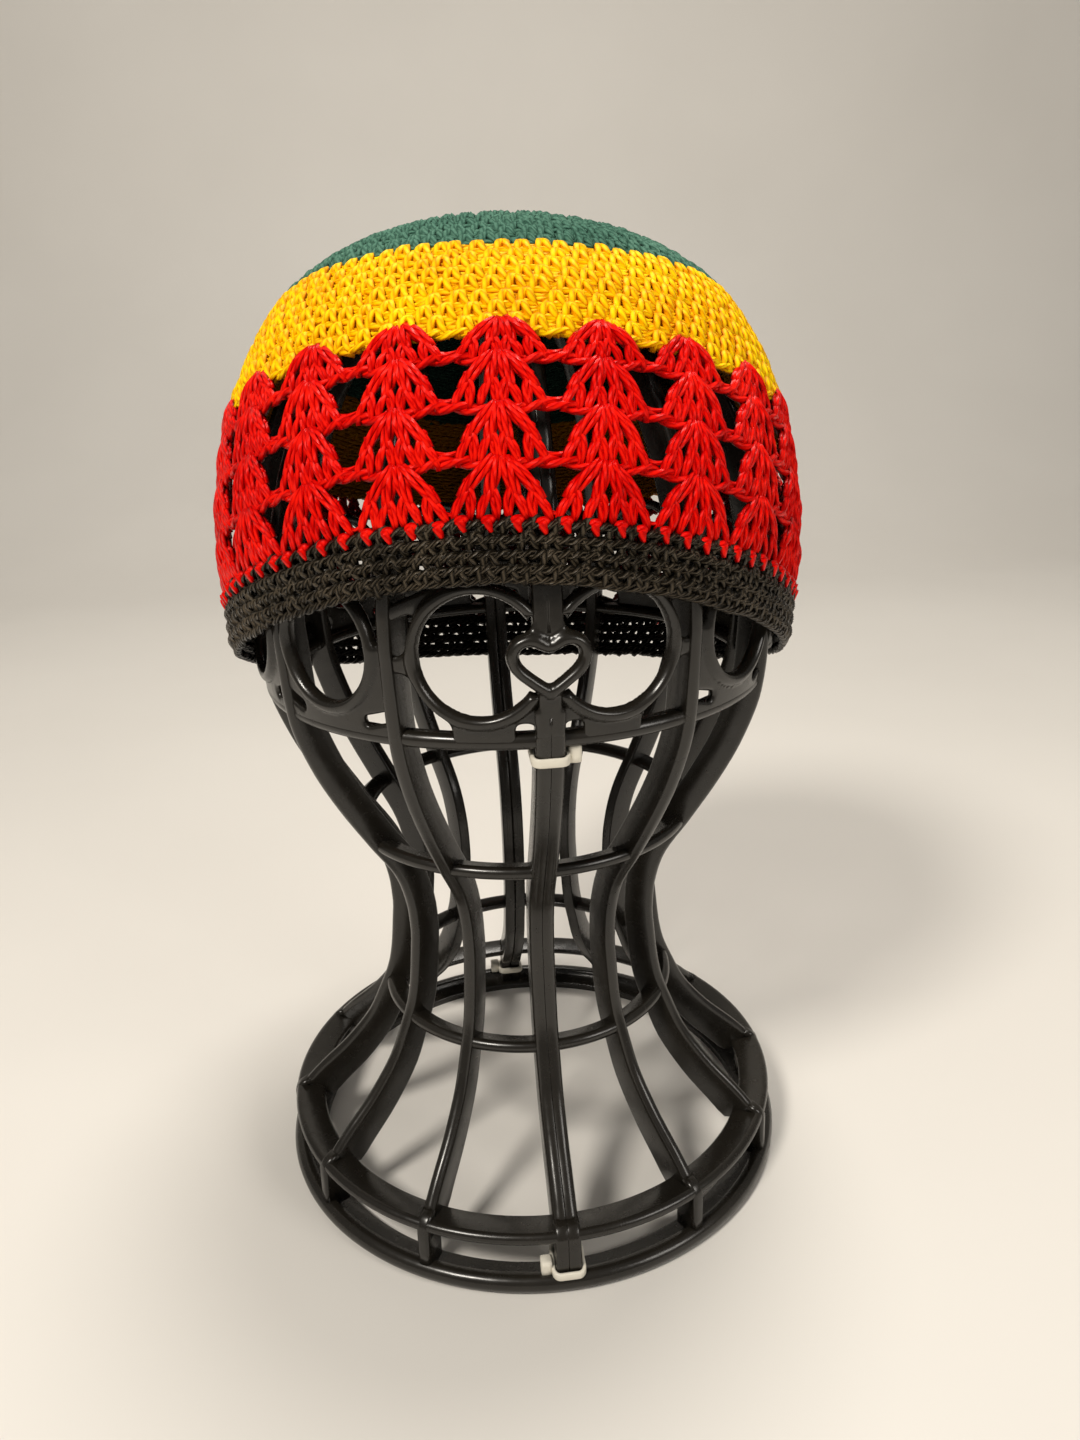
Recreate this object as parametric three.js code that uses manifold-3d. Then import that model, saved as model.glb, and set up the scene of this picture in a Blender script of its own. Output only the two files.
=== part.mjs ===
// Crocheted tam in green, yellow, red and black, worn by a black rib-and-ring hat stand.
// Millimetres, +Z up, and the front faces -Y. Pieces are made around the stand's axis.
import * as THREE from "three";
import { mergeVertices } from "three/addons/utils/BufferGeometryUtils.js";
import Module from "manifold-3d";

const wasm = await Module();
wasm.setup();

// Gap that neighbouring pieces keep
const clearance = 0.3;

// Stand: radii and heights of the ribs' outer edge
const ribCount = 12;
const frontTurn = 5.65;
const footRadius = 91.5;
const neckRadius = 49.2;
const headRadius = 87.5;
const footHeight = 6;
const footLedge = 1;
const baseHeight = 20;
const waistHeight = 64.5;
const neckHeight = 96;
const jawHeight = 133.7;
const browHeight = 186;
const headHeight = 212;
const domeRise = 109.6;

// Stand: sections
const ribThickness = 4;
const ribDepth = 9;
const ribSkin = 2.4;
const ringThickness = 4;
const browThickness = 5;
const footBevel = 2;
const discRadius = 14;
const discThickness = 4;

// Brow loops and heart
const loopHoleRadius = 15.8;
const loopWidth = 3.4;
const loopDepth = 3.6;
const loopInset = 1.2;
const loopRise = 3.4;
const loopWebWidth = 20;
const frontLoopAngle = 12.6;
const heartWidth = 23.6;
const heartBand = 3.7;
const heartDepth = 5.2;
const heartRise = 23;
const heartStretch = 0.42;

// Ties
const tieWidth = 2.8;
const tieThickness = 1.2;
const tieHeadSize = 4.6;
const tieSlack = 0.6;

// Hat: heights along its own axis, from the rim up
const hatHeight = 132.7;
const rimHeight = 16.4;
const laceHeight = 50.9;
const yellowHeight = 34.9;
const hatWall = 2.6;
const hatEase = 7.6;
const ovalness = 1.044;
const hatTiltBack = 20.95;
const hatLeanRight = 1.33;
const hatOffsetX = -1.2;
const hatOffsetY = -5.2;

// Lace: shells stand in columns, the front one a little to the left
const shellColumns = 22;
const columnTurn = -1.4;

// Facets
const ringSegments = 36;
const discSegments = 16;
const hatSegments = 2 * shellColumns;
const loopSegments = 11;
const heartCorners = 16;
const domeSteps = 5;
const crownSteps = 5;
const yellowSteps = 3;
const leastStep = 1;

// The ribs' outer edge from the top of the posts in to the neck.
// height: share of the way up to the neck; flare: share of the way out from the neck to the foot
const footFlare = [
  { height: 0, flare: 1 },
  { height: 0.1, flare: 0.81 },
  { height: 0.24, flare: 0.52 },
  { height: 0.38, flare: 0.31 },
  { height: 0.5, flare: 0.2 },
  { height: 0.69, flare: 0.07 },
  { height: 1, flare: 0 },
];

// The same edge from the neck out to the head's widest level.
// height: share of the way up from the neck; flare: share of the way out from the neck to the head
const headFlare = [
  { height: 0, flare: 0 },
  { height: 0.103, flare: 0.023 },
  { height: 0.21, flare: 0.12 },
  { height: 0.328, flare: 0.345 },
  { height: 0.472, flare: 0.605 },
  { height: 0.6, flare: 0.795 },
  { height: 0.75, flare: 0.94 },
  { height: 1, flare: 1 },
];

// The hat's outer shape. height: share of the hat's height; girth: share of its widest radius;
// lift: millimetres that the front and the back rise there, and the sides drop
const hatSections = [
  { height: 0, girth: 0.954, lift: 4.9 },
  { height: 0.124, girth: 0.977, lift: 4 },
  { height: 0.26, girth: 0.998, lift: 3 },
  { height: 0.38, girth: 0.992, lift: 2.1 },
  { height: 0.507, girth: 0.968, lift: 1.3 },
  { height: 0.6, girth: 0.93, lift: 0.2 },
  { height: 0.685, girth: 0.878, lift: -1.1 },
  { height: 0.77, girth: 0.803, lift: -2.2 },
  { height: 0.85, girth: 0.69, lift: -1.8 },
  { height: 0.915, girth: 0.545, lift: -1.2 },
  { height: 0.96, girth: 0.38, lift: -0.6 },
  { height: 0.99, girth: 0.19, lift: -0.2 },
  { height: 1, girth: 0, lift: 0 },
];

// The lace's rounds of gaps. low and high: shares of the lace's height;
// lowWidth and highWidth: millimetres
const laceRounds = [
  { low: 0.116, high: 0.267, lowWidth: 5, highWidth: 10.5 },
  { low: 0.352, high: 0.562, lowWidth: 6, highWidth: 12.5 },
  { low: 0.642, high: 0.823, lowWidth: 8, highWidth: 12.5 },
  { low: 0.902, high: 0.976, lowWidth: 8, highWidth: 11.5 },
];

const black = new THREE.MeshStandardMaterial({ color: 0x1b1613, roughness: 0.32, metalness: 0 });
const white = new THREE.MeshStandardMaterial({ color: 0xe6ded0, roughness: 0.45, metalness: 0 });
const greenYarn = new THREE.MeshStandardMaterial({ color: 0x3f7263, roughness: 0.9, metalness: 0 });
const yellowYarn = new THREE.MeshStandardMaterial({ color: 0xf0b405, roughness: 0.75, metalness: 0 });
const redYarn = new THREE.MeshStandardMaterial({ color: 0xd40806, roughness: 0.7, metalness: 0 });
const blackYarn = new THREE.MeshStandardMaterial({ color: 0x231d17, roughness: 0.85, metalness: 0 });

const radians = THREE.MathUtils.degToRad;
const ribPitch = 360 / ribCount;
const postHeight = baseHeight + ringThickness / 2 + clearance;
const domeTop = headHeight + domeRise;
const girthRadius = headRadius + hatEase;

// A geometry with its shared corners joined and only its positions kept
function welded(geometry) {
  const bare = geometry.clone();
  bare.deleteAttribute("normal");
  bare.deleteAttribute("uv");
  return mergeVertices(bare, 1e-4);
}

function toSolid(geometry) {
  const shape = welded(geometry);
  return new wasm.Manifold(new wasm.Mesh({
    numProp: 3,
    vertProperties: new Float32Array(shape.attributes.position.array),
    triVerts: new Uint32Array(shape.index.array),
  }));
}

function toGeometry(solid) {
  const mesh = solid.getMesh();
  const geometry = new THREE.BufferGeometry();
  geometry.setAttribute("position", new THREE.BufferAttribute(new Float32Array(mesh.vertProperties), 3));
  geometry.setIndex(new THREE.BufferAttribute(new Uint32Array(mesh.triVerts), 1));
  return geometry;
}

function makeMesh(name, geometry, material) {
  const shape = welded(geometry);
  shape.computeVertexNormals();
  const mesh = new THREE.Mesh(shape, material);
  mesh.name = name;
  return mesh;
}

// Moves every corner of a geometry to the place that a function gives
function reshape(geometry, place) {
  const shape = welded(geometry);
  const corners = shape.attributes.position;
  for (let i = 0; i < corners.count; i += 1) {
    const corner = place(corners.getX(i), corners.getY(i), corners.getZ(i));
    corners.setXYZ(i, corner.x, corner.y, corner.z);
  }
  return shape;
}

// A closed profile of radius and height points turned around the Z axis, its front at -Y;
// firstCorner is the angle of its first corner line
function turned(points, segments, firstCorner = 0) {
  const profile = [...points, points[0]].map((point) => new THREE.Vector2(point.x, point.y));
  return new THREE.LatheGeometry(profile, segments).rotateX(Math.PI / 2).rotateZ(radians(firstCorner));
}

// Value of a table's column at a height, along a smooth curve through its rows
function smoothValue(rows, column, height) {
  const last = rows.length - 1;
  const h = THREE.MathUtils.clamp(height, rows[0].height, rows[last].height);
  let i = 0;
  while (i < last - 1 && rows[i + 1].height < h) {
    i += 1;
  }
  const slopeAt = (k) => {
    const before = rows[Math.max(k - 1, 0)];
    const after = rows[Math.min(k + 1, last)];
    return (after[column] - before[column]) / (after.height - before.height);
  };
  const span = rows[i + 1].height - rows[i].height;
  const t = (h - rows[i].height) / span;
  const ease = t * t * (3 - 2 * t);
  const curl = t * (1 - t) * span * (slopeAt(i) * (1 - t) - slopeAt(i + 1) * t);
  return rows[i].height === h ? rows[i][column]
    : rows[i][column] * (1 - ease) + rows[i + 1][column] * ease + curl;
}

// Radius of the ribs' outer edge at a height
function standRadius(z) {
  if (z <= postHeight) {
    return footRadius;
  }
  if (z <= neckHeight) {
    const share = (z - postHeight) / (neckHeight - postHeight);
    return neckRadius + (footRadius - neckRadius) * smoothValue(footFlare, "flare", share);
  }
  if (z <= headHeight) {
    const share = (z - neckHeight) / (headHeight - neckHeight);
    return neckRadius + (headRadius - neckRadius) * smoothValue(headFlare, "flare", share);
  }
  const rise = Math.min((z - headHeight) / domeRise, 1);
  return headRadius * Math.sqrt(1 - rise * rise);
}

// Level rings. width is measured inward from the ribs' skin, bevel cuts the section's corners
const ringSpecs = [
  { name: "base_ring", height: baseHeight, thickness: ringThickness },
  { name: "waist_ring", height: waistHeight, thickness: ringThickness },
  { name: "jaw_ring", height: jawHeight, thickness: ringThickness },
  { name: "brow_ring", height: browHeight, thickness: browThickness },
].map((ring) => ({ ...ring, outer: standRadius(ring.height) - ribSkin, width: ribDepth - ribSkin }));

function makeRing({ name, height, thickness, outer, width }) {
  const low = height - thickness / 2;
  const high = height + thickness / 2;
  const bevel = thickness / 3;
  const section = [
    { x: outer - width, y: low },
    { x: outer - bevel, y: low },
    { x: outer, y: height },
    { x: outer - bevel, y: high },
    { x: outer - width, y: high },
  ];
  return makeMesh(name, turned(section, ringSegments), black);
}

function makeFootRing() {
  const outer = footRadius + footLedge;
  const inner = footRadius - ribDepth - footLedge;
  const section = [
    { x: inner, y: 0 },
    { x: outer - footBevel, y: 0 },
    { x: outer, y: footBevel },
    { x: outer, y: footHeight - footBevel },
    { x: outer - footBevel, y: footHeight },
    { x: inner, y: footHeight },
  ];
  return makeMesh("foot_ring", turned(section, ringSegments), black);
}

// Points of the ribs' outer edge from a low to a high level: the tables' own levels on the wall,
// and equal angles on the dome
function ribEdge(low, high) {
  const levels = [
    ...footFlare.map((row) => THREE.MathUtils.lerp(postHeight, neckHeight, row.height)),
    ...headFlare.slice(1).map((row) => THREE.MathUtils.lerp(neckHeight, headHeight, row.height)),
  ];
  const lowestAngle = Math.asin(Math.max(low - headHeight, 0) / domeRise);
  const highestAngle = Math.acos((discRadius + clearance) / headRadius);
  for (let i = 1; i <= domeSteps; i += 1) {
    const angle = THREE.MathUtils.lerp(lowestAngle, highestAngle, i / domeSteps);
    levels.push(headHeight + domeRise * Math.sin(angle));
  }
  const between = levels.filter((z) => z > low + leastStep && z < high - leastStep);
  const top = Math.min(high, levels[levels.length - 1]);
  const ends = between[between.length - 1] < top - leastStep ? [...between, top] : between;
  return [low, ...ends].map((z) => new THREE.Vector2(standRadius(z), z));
}

// The inner edge: the outer one moved in by the rib's depth, square to it
function innerEdge(edge) {
  return edge.map((point, i) => {
    const before = edge[Math.max(i - 1, 0)];
    const after = edge[Math.min(i + 1, edge.length - 1)];
    const along = after.clone().sub(before).normalize();
    const atEnd = i === 0 || i === edge.length - 1;
    const steep = Math.abs(along.y) > Math.abs(along.x);
    const inward = new THREE.Vector2(-along.y, along.x);
    if (atEnd && steep) {
      return new THREE.Vector2(point.x - ribDepth, point.y);
    }
    if (atEnd) {
      return new THREE.Vector2(point.x, point.y - ribDepth);
    }
    return point.clone().addScaledVector(inward, ribDepth);
  });
}

// Opens a slot in the inner edge for each ring that the rib passes in front of
function slotted(inner) {
  let path = inner;
  for (const ring of ringSpecs) {
    const low = ring.height - ring.thickness / 2 - clearance;
    const high = ring.height + ring.thickness / 2 + clearance;
    if (path[0].y > low || path[path.length - 1].y < high) {
      continue;
    }
    const below = path.filter((point) => point.y < low - clearance);
    const above = path.filter((point) => point.y > high + clearance);
    const across = (y) => {
      const k = path.findIndex((point) => point.y >= y);
      const share = (y - path[k - 1].y) / (path[k].y - path[k - 1].y);
      return THREE.MathUtils.lerp(path[k - 1].x, path[k].x, share);
    };
    const bottom = ring.outer + clearance;
    path = [
      ...below,
      new THREE.Vector2(across(low), low),
      new THREE.Vector2(bottom, low),
      new THREE.Vector2(bottom, high),
      new THREE.Vector2(across(high), high),
      ...above,
    ];
  }
  return path;
}

// A fin between two levels; side 0 stands on its own, -1 and 1 are the halves beside a seam
function makeRib(name, angle, side, low, high) {
  const edge = ribEdge(low, high);
  const wall = slotted(innerEdge(edge));
  const outline = new THREE.Shape([...edge, ...wall.reverse()]);
  const plate = new THREE.ExtrudeGeometry(outline, { depth: ribThickness, bevelEnabled: false });
  const offset = side * (ribThickness + clearance) / 2;
  plate.rotateX(Math.PI / 2);
  plate.translate(0, ribThickness / 2, 0);
  plate.rotateZ(-Math.PI / 2);
  plate.translate(offset, 0, 0);
  const rib = makeMesh(name, plate, black);
  rib.rotation.z = radians(angle);
  return rib;
}

// Wraps a flat plate (x along the brow, y up, z outward) onto the head, its face a little inside the ribs'
function wrapped(geometry, angle, depth, inset) {
  return reshape(geometry, (x, y, z) => {
    const turn = radians(angle) + x / headRadius;
    const radius = standRadius(y) - inset - depth + z;
    return new THREE.Vector3(radius * Math.sin(turn), -radius * Math.cos(turn), y);
  });
}

// Corners of a heart curve of a given width about its middle
function heartPoints(width, count, centreHeight) {
  const points = [];
  for (let i = 0; i < count; i += 1) {
    const t = (2 * Math.PI * i) / count;
    const across = Math.sin(t) ** 3;
    const up = (13 * Math.cos(t) - 5 * Math.cos(2 * t) - 2 * Math.cos(3 * t) - Math.cos(4 * t)) / 16;
    points.push(new THREE.Vector2(across * width / 2, centreHeight + up * width * heartStretch));
  }
  return points;
}

const heartCentre = browHeight + heartRise;
const loopCentre = browHeight + browThickness / 2 + clearance + loopRise + loopHoleRadius + loopWidth;

// A flat plate with one hole; the outline runs anticlockwise, so that the hole's wall faces it
function plateOf(points, hole, depth) {
  const clockwise = THREE.ShapeUtils.isClockWise(points);
  const outline = new THREE.Shape(clockwise ? [...points].reverse() : points);
  outline.holes.push(new THREE.Path(hole));
  return new THREE.ExtrudeGeometry(outline, { depth, bevelEnabled: false });
}

function circlePoints(radius, centreHeight, from, to, count) {
  const points = [];
  for (let i = 0; i <= count; i += 1) {
    const turn = radians(THREE.MathUtils.lerp(from, to, i / count));
    points.push(new THREE.Vector2(radius * Math.sin(turn), centreHeight + radius * Math.cos(turn)));
  }
  return points;
}

// A round loop on a short web that stands on the brow ring
function flatLoop() {
  const outer = loopHoleRadius + loopWidth;
  const webTurn = THREE.MathUtils.radToDeg(Math.asin(loopWebWidth / 2 / outer));
  const foot = browHeight + browThickness / 2 + clearance;
  const rim = circlePoints(outer, loopCentre, webTurn - 180, 180 - webTurn, loopSegments);
  const points = [
    new THREE.Vector2(-loopWebWidth / 2, foot),
    ...rim,
    new THREE.Vector2(loopWebWidth / 2, foot),
  ];
  const hole = circlePoints(loopHoleRadius, loopCentre, 0, 360, loopSegments).slice(1);
  return plateOf(points, hole, loopDepth);
}

// A loop beside the front rib, with room cut out for the heart and the rib
function flatFrontLoop(side) {
  const depth = heartDepth * 4;
  const toFront = -side * radians(frontLoopAngle) * headRadius;
  const room = new THREE.Shape(heartPoints(heartWidth + 4 * clearance, heartCorners, heartCentre));
  const heartRoom = new THREE.ExtrudeGeometry(room, { depth, bevelEnabled: false });
  heartRoom.translate(toFront, 0, -depth / 2);
  const ribRoom = new THREE.BoxGeometry(2 * (ribThickness + 2 * clearance), headHeight, depth);
  ribRoom.translate(toFront, loopCentre, 0);
  return toGeometry(toSolid(flatLoop()).subtract(toSolid(heartRoom)).subtract(toSolid(ribRoom)));
}

// Half the angle that a rib takes up; the front and the back one are doubled
function ribHalfAngle(index) {
  const doubled = index % (ribCount / 2) === 0;
  const reach = doubled ? ribThickness + clearance / 2 : ribThickness / 2;
  return THREE.MathUtils.radToDeg(reach / headRadius);
}

function makeLoop(index) {
  const angle = (index + 0.5) * ribPitch + (ribHalfAngle(index) - ribHalfAngle(index + 1)) / 2;
  const name = `brow_loop_${String(index + 1).padStart(2, "0")}`;
  if (index === 0) {
    return makeMesh(name, wrapped(flatFrontLoop(1), frontLoopAngle, loopDepth, loopInset), black);
  }
  if (index === ribCount - 1) {
    return makeMesh(name, wrapped(flatFrontLoop(-1), -frontLoopAngle, loopDepth, loopInset), black);
  }
  return makeMesh(name, wrapped(flatLoop(), angle, loopDepth, loopInset), black);
}

function makeHeart() {
  const outside = heartPoints(heartWidth, heartCorners, heartCentre);
  const inside = heartPoints(heartWidth - 2 * heartBand, heartCorners, heartCentre);
  return makeMesh("brow_heart", wrapped(plateOf(outside, inside, heartDepth), 0, heartDepth, 0), black);
}

function makeTopDisc() {
  const discEdge = headHeight + domeRise * Math.sqrt(1 - (discRadius / headRadius) ** 2);
  const section = [
    { x: 0, y: discEdge - discThickness },
    { x: discRadius, y: discEdge - discThickness },
    { x: discRadius, y: discEdge },
    { x: 0, y: domeTop },
  ];
  return makeMesh("top_disc", turned(section, discSegments), black);
}

// A strap round a doubled rib, with its square head at one side
function makeTie(name, angle, height, headSide) {
  const reach = ribThickness + clearance / 2;
  const outer = standRadius(height + tieWidth / 2) + clearance;
  const slant = (standRadius(height + tieWidth / 2) - standRadius(height - tieWidth / 2)) / tieWidth;
  const inner = outer - slant * tieWidth - ribDepth * Math.hypot(slant, 1) - 2 * clearance - tieSlack;
  const side = reach + clearance;
  const frame = (grow) => [
    new THREE.Vector2(-side - grow, -outer - grow),
    new THREE.Vector2(side + grow, -outer - grow),
    new THREE.Vector2(side + grow, -inner + grow),
    new THREE.Vector2(-side - grow, -inner + grow),
  ];
  const strap = plateOf(frame(tieThickness), frame(0), tieWidth);
  strap.translate(0, 0, height - tieWidth / 2);
  const head = new THREE.BoxGeometry(tieHeadSize, tieHeadSize, tieHeadSize);
  const headOffset = side + (tieHeadSize + tieThickness) / 2;
  head.translate(headSide * headOffset, -outer + tieHeadSize / 2, height);
  const tie = makeMesh(name, toGeometry(toSolid(strap).add(toSolid(head))), white);
  tie.rotation.z = radians(angle);
  return tie;
}

function makeStand() {
  const stand = new THREE.Group();
  stand.rotation.z = radians(frontTurn);
  const foot = footHeight + clearance;
  const heartLevels = heartPoints(heartWidth, heartCorners, heartCentre).map((point) => point.y);
  const heartLow = Math.min(...heartLevels) - clearance;
  const heartHigh = Math.max(...heartLevels) + clearance;
  stand.add(makeFootRing(), ...ringSpecs.map(makeRing), makeTopDisc());
  for (let k = 1; k < ribCount; k += 1) {
    if (k !== ribCount / 2) {
      stand.add(makeRib(`rib_${String(k).padStart(2, "0")}`, k * ribPitch, 0, foot, domeTop));
    }
  }
  for (const [word, side] of [["left", -1], ["right", 1]]) {
    stand.add(makeRib(`rib_front_${word}`, 0, side, foot, heartLow));
    stand.add(makeRib(`rib_front_${word}_top`, 0, side, heartHigh, domeTop));
    stand.add(makeRib(`rib_back_${word}`, 180, side, foot, domeTop));
  }
  for (let k = 0; k < ribCount; k += 1) {
    stand.add(makeLoop(k));
  }
  const browTie = browHeight - browThickness / 2 - clearance - tieWidth / 2 - tieSlack;
  const footTie = footHeight + clearance + tieHeadSize / 2;
  stand.add(
    makeHeart(),
    makeTie("tie_brow", 0, browTie, 1),
    makeTie("tie_front_foot", 0, footTie, -1),
    makeTie("tie_back_foot", 180, footTie, 1),
  );
  return stand;
}

// Hat, worked in its own frame: the rim's plane at height 0 and the axis upward
function hatRadius(height) {
  return girthRadius * smoothValue(hatSections, "girth", height / hatHeight);
}

function hatPlace(x, y, z) {
  const turn = Math.atan2(x, -y);
  const lift = smoothValue(hatSections, "lift", z / hatHeight);
  return new THREE.Vector3(x, y * ovalness, z + lift * Math.cos(2 * turn));
}

// The hat's facets are centred on its columns and on the gaps between them
function turnedHat(section) {
  return turned(section, hatSegments, columnTurn + 180 / hatSegments);
}

// Outer points at each height, and the same points moved in by the wall
function hatWallPoints(heights) {
  const outside = [];
  const inside = [];
  for (const height of heights) {
    const slope = (hatRadius(height + clearance) - hatRadius(height - clearance)) / (2 * clearance);
    const length = Math.hypot(slope, 1);
    outside.push({ x: hatRadius(height), y: height });
    inside.push({ x: hatRadius(height) - hatWall / length, y: height + (hatWall * slope) / length });
  }
  return [...outside, ...inside.reverse()];
}

function makeBand(name, low, high, steps, material) {
  const heights = [];
  for (let i = 0; i <= steps; i += 1) {
    heights.push(THREE.MathUtils.lerp(low + clearance / 2, high - clearance / 2, i / steps));
  }
  return makeMesh(name, reshape(turnedHat(hatWallPoints(heights)), hatPlace), material);
}

// The gaps between the shells, as prisms that point outward
function laceGaps(laceFoot) {
  const depth = 6 * hatWall;
  const gaps = [];
  for (const { low, high, lowWidth, highWidth } of laceRounds) {
    const foot = laceFoot + low * laceHeight;
    const rise = (high - low) * laceHeight;
    const outline = new THREE.Shape([
      new THREE.Vector2(-lowWidth / 2, 0),
      new THREE.Vector2(lowWidth / 2, 0),
      new THREE.Vector2(highWidth / 2, rise),
      new THREE.Vector2(-highWidth / 2, rise),
    ]);
    const prism = new THREE.ExtrudeGeometry(outline, { depth, bevelEnabled: false });
    prism.translate(0, 0, hatRadius(foot + rise / 2) - depth / 2);
    prism.rotateX(Math.PI / 2);
    prism.translate(0, 0, foot);
    for (let column = 0; column < shellColumns; column += 1) {
      const turn = columnTurn + ((column + 0.5) * 360) / shellColumns;
      gaps.push(toSolid(prism.clone().rotateZ(radians(turn))));
    }
  }
  return wasm.Manifold.union(gaps);
}

// The lace's wall bends between its rounds of gaps, so that each gap lies within one facet
function makeLace(low, high) {
  const bars = laceRounds.slice(1).map((round, i) => low + laceHeight * (round.low + laceRounds[i].high) / 2);
  const section = hatWallPoints([low + clearance / 2, ...bars, high - clearance / 2]);
  const pierced = toSolid(turnedHat(section)).subtract(laceGaps(low));
  return makeMesh("red_lace", reshape(toGeometry(pierced), hatPlace), redYarn);
}

// Points of the crown's outer or inner skin: its lower edge by height, its top by angle
function crownSkin(low, inset) {
  const points = [];
  for (let i = 0; i <= crownSteps; i += 1) {
    const climb = i / crownSteps;
    const height = THREE.MathUtils.lerp(low, hatHeight, Math.sin(climb * Math.PI / 2));
    const share = 1 - inset / hatRadius(low);
    points.push({ x: hatRadius(height) * share, y: height - inset * Math.sqrt(climb) });
  }
  points[crownSteps].x = 0;
  return points;
}

function makeCrown(low) {
  const foot = low + clearance / 2;
  const section = [...crownSkin(foot, 0), ...crownSkin(foot, hatWall).reverse()];
  return makeMesh("crown", reshape(turnedHat(section), hatPlace), greenYarn);
}

// Corners and middles of the facets of the hat's inside, from the yellow band up
function insidePlaces() {
  const skin = crownSkin(rimHeight + laceHeight, hatWall);
  const halfFacet = Math.PI / hatSegments;
  const parts = 4;
  const places = [];
  for (let i = 0; i <= parts * (skin.length - 1); i += 1) {
    const k = Math.min(Math.floor(i / parts), skin.length - 2);
    const share = i / parts - k;
    const height = THREE.MathUtils.lerp(skin[k].y, skin[k + 1].y, share);
    const radius = THREE.MathUtils.lerp(skin[k].x, skin[k + 1].x, share);
    for (let j = 0; j < 2 * hatSegments; j += 1) {
      const reach = j % 2 === 1 ? radius : radius * Math.cos(halfFacet);
      const turn = radians(columnTurn) + j * halfFacet;
      places.push(hatPlace(reach * Math.sin(turn), -reach * Math.cos(turn), height));
    }
  }
  return places;
}

// How high the hat's frame sits when its band and crown come to rest on the stand's dome
function seatHeight(hat) {
  let seat = -Infinity;
  for (const inside of insidePlaces()) {
    const place = inside.applyEuler(hat.rotation);
    const reach = Math.hypot(place.x + hatOffsetX, place.y + hatOffsetY) / headRadius;
    if (reach < 1) {
      seat = Math.max(seat, headHeight + domeRise * Math.sqrt(1 - reach * reach) - place.z);
    }
  }
  return seat + clearance;
}

function makeHat() {
  const laceFoot = rimHeight;
  const yellowFoot = laceFoot + laceHeight;
  const crownFoot = yellowFoot + yellowHeight;
  const hat = new THREE.Group();
  hat.add(
    makeBand("black_rim", 0, laceFoot, 1, blackYarn),
    makeLace(laceFoot, yellowFoot),
    makeBand("yellow_band", yellowFoot, crownFoot, yellowSteps, yellowYarn),
    makeCrown(crownFoot),
  );
  hat.rotation.set(radians(-hatTiltBack), radians(hatLeanRight), 0, "YXZ");
  hat.position.set(hatOffsetX, hatOffsetY, seatHeight(hat));
  return hat;
}

// The origin lies on the base, in the middle of the whole thing's box
function centreOnBase(group) {
  const box = new THREE.Box3().setFromObject(group, true);
  const middle = box.getCenter(new THREE.Vector3());
  group.position.set(-middle.x, -middle.y, -box.min.z);
}

const tamOnStand = new THREE.Group();
tamOnStand.add(makeStand(), makeHat());
centreOnBase(tamOnStand);

export default tamOnStand;
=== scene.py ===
# Crocheted tam in green, yellow, red and black on a black rib-and-ring hat stand.
# Shapes are worked out in millimetres about the stand's axis, then written in metres.
import math
from functools import partial

import bpy
import numpy as np
from mathutils import Matrix, Vector


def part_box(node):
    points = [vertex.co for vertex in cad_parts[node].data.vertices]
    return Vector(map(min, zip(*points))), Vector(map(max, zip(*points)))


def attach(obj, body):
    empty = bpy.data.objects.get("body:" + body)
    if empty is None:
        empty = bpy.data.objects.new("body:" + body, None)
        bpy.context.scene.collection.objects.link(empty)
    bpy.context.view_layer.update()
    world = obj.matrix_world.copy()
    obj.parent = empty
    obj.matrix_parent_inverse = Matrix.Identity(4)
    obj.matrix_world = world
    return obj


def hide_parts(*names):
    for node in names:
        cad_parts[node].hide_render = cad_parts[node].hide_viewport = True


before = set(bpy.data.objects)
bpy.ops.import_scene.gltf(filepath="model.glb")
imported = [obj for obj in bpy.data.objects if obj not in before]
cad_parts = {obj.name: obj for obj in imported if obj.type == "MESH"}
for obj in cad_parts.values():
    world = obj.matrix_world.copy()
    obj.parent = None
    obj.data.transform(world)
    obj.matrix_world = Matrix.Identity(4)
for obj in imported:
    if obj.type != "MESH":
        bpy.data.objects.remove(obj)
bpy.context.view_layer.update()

MM = 0.001
rng = np.random.default_rng(7)

# The stand's axis, from the foot ring
foot_low, foot_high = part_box("foot_ring")
AXIS = np.array([(foot_low[i] + foot_high[i]) / 2 / MM for i in (0, 1)] + [0.0])
RIBS = 12
RIB_PITCH = math.tau / RIBS
FRONT_TURN = math.radians(5.65)

# Stand: radii and heights of the ribs' outer edge
FOOT_RADIUS = 91.5
NECK_RADIUS = 49.2
HEAD_RADIUS = 87.5
BASE_HEIGHT = 20.0
WAIST_HEIGHT = 64.5
NECK_HEIGHT = 96.0
JAW_HEIGHT = 133.7
BROW_HEIGHT = 186.0
HEAD_HEIGHT = 212.0
DOME_RISE = 109.6
POST_HEIGHT = 22.3
RIB_WIDTH = 4.4
RIB_DEPTH = 10.0
POST_DEPTH = 9.0
HALF_WIDTH = 4.15
HALF_OFFSET = 2.1
DISC_RADIUS = 14.0
TOP_HEIGHT = HEAD_HEIGHT + DOME_RISE

# Corner radii of the ribs' sections: outer edge of blades and posts, seam between halves, inner edge
RIB_EDGE = 1.9
RIB_POST_EDGE = 1.3
HALF_EDGE = 2.3
HALF_POST_EDGE = 1.0
SEAM_EDGE = 0.22
BACK_EDGE = 0.7
HALF_POST_BACK_EDGE = 0.6

# A post under a rib's blade: out from the foot radius, height, share of the rib's depth
POST_STATIONS = [
    (1.2, 3.8, 1.0),
    (1.1, 10.0, 1.0),
    (1.0, 15.0, 1.0),
    (0.9, 19.4, 1.0),
    (0.3, 21.0, 1.0),
    (-1.3, 22.6, 0.9),
    (-4.4, 24.4, 0.6),
]

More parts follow.
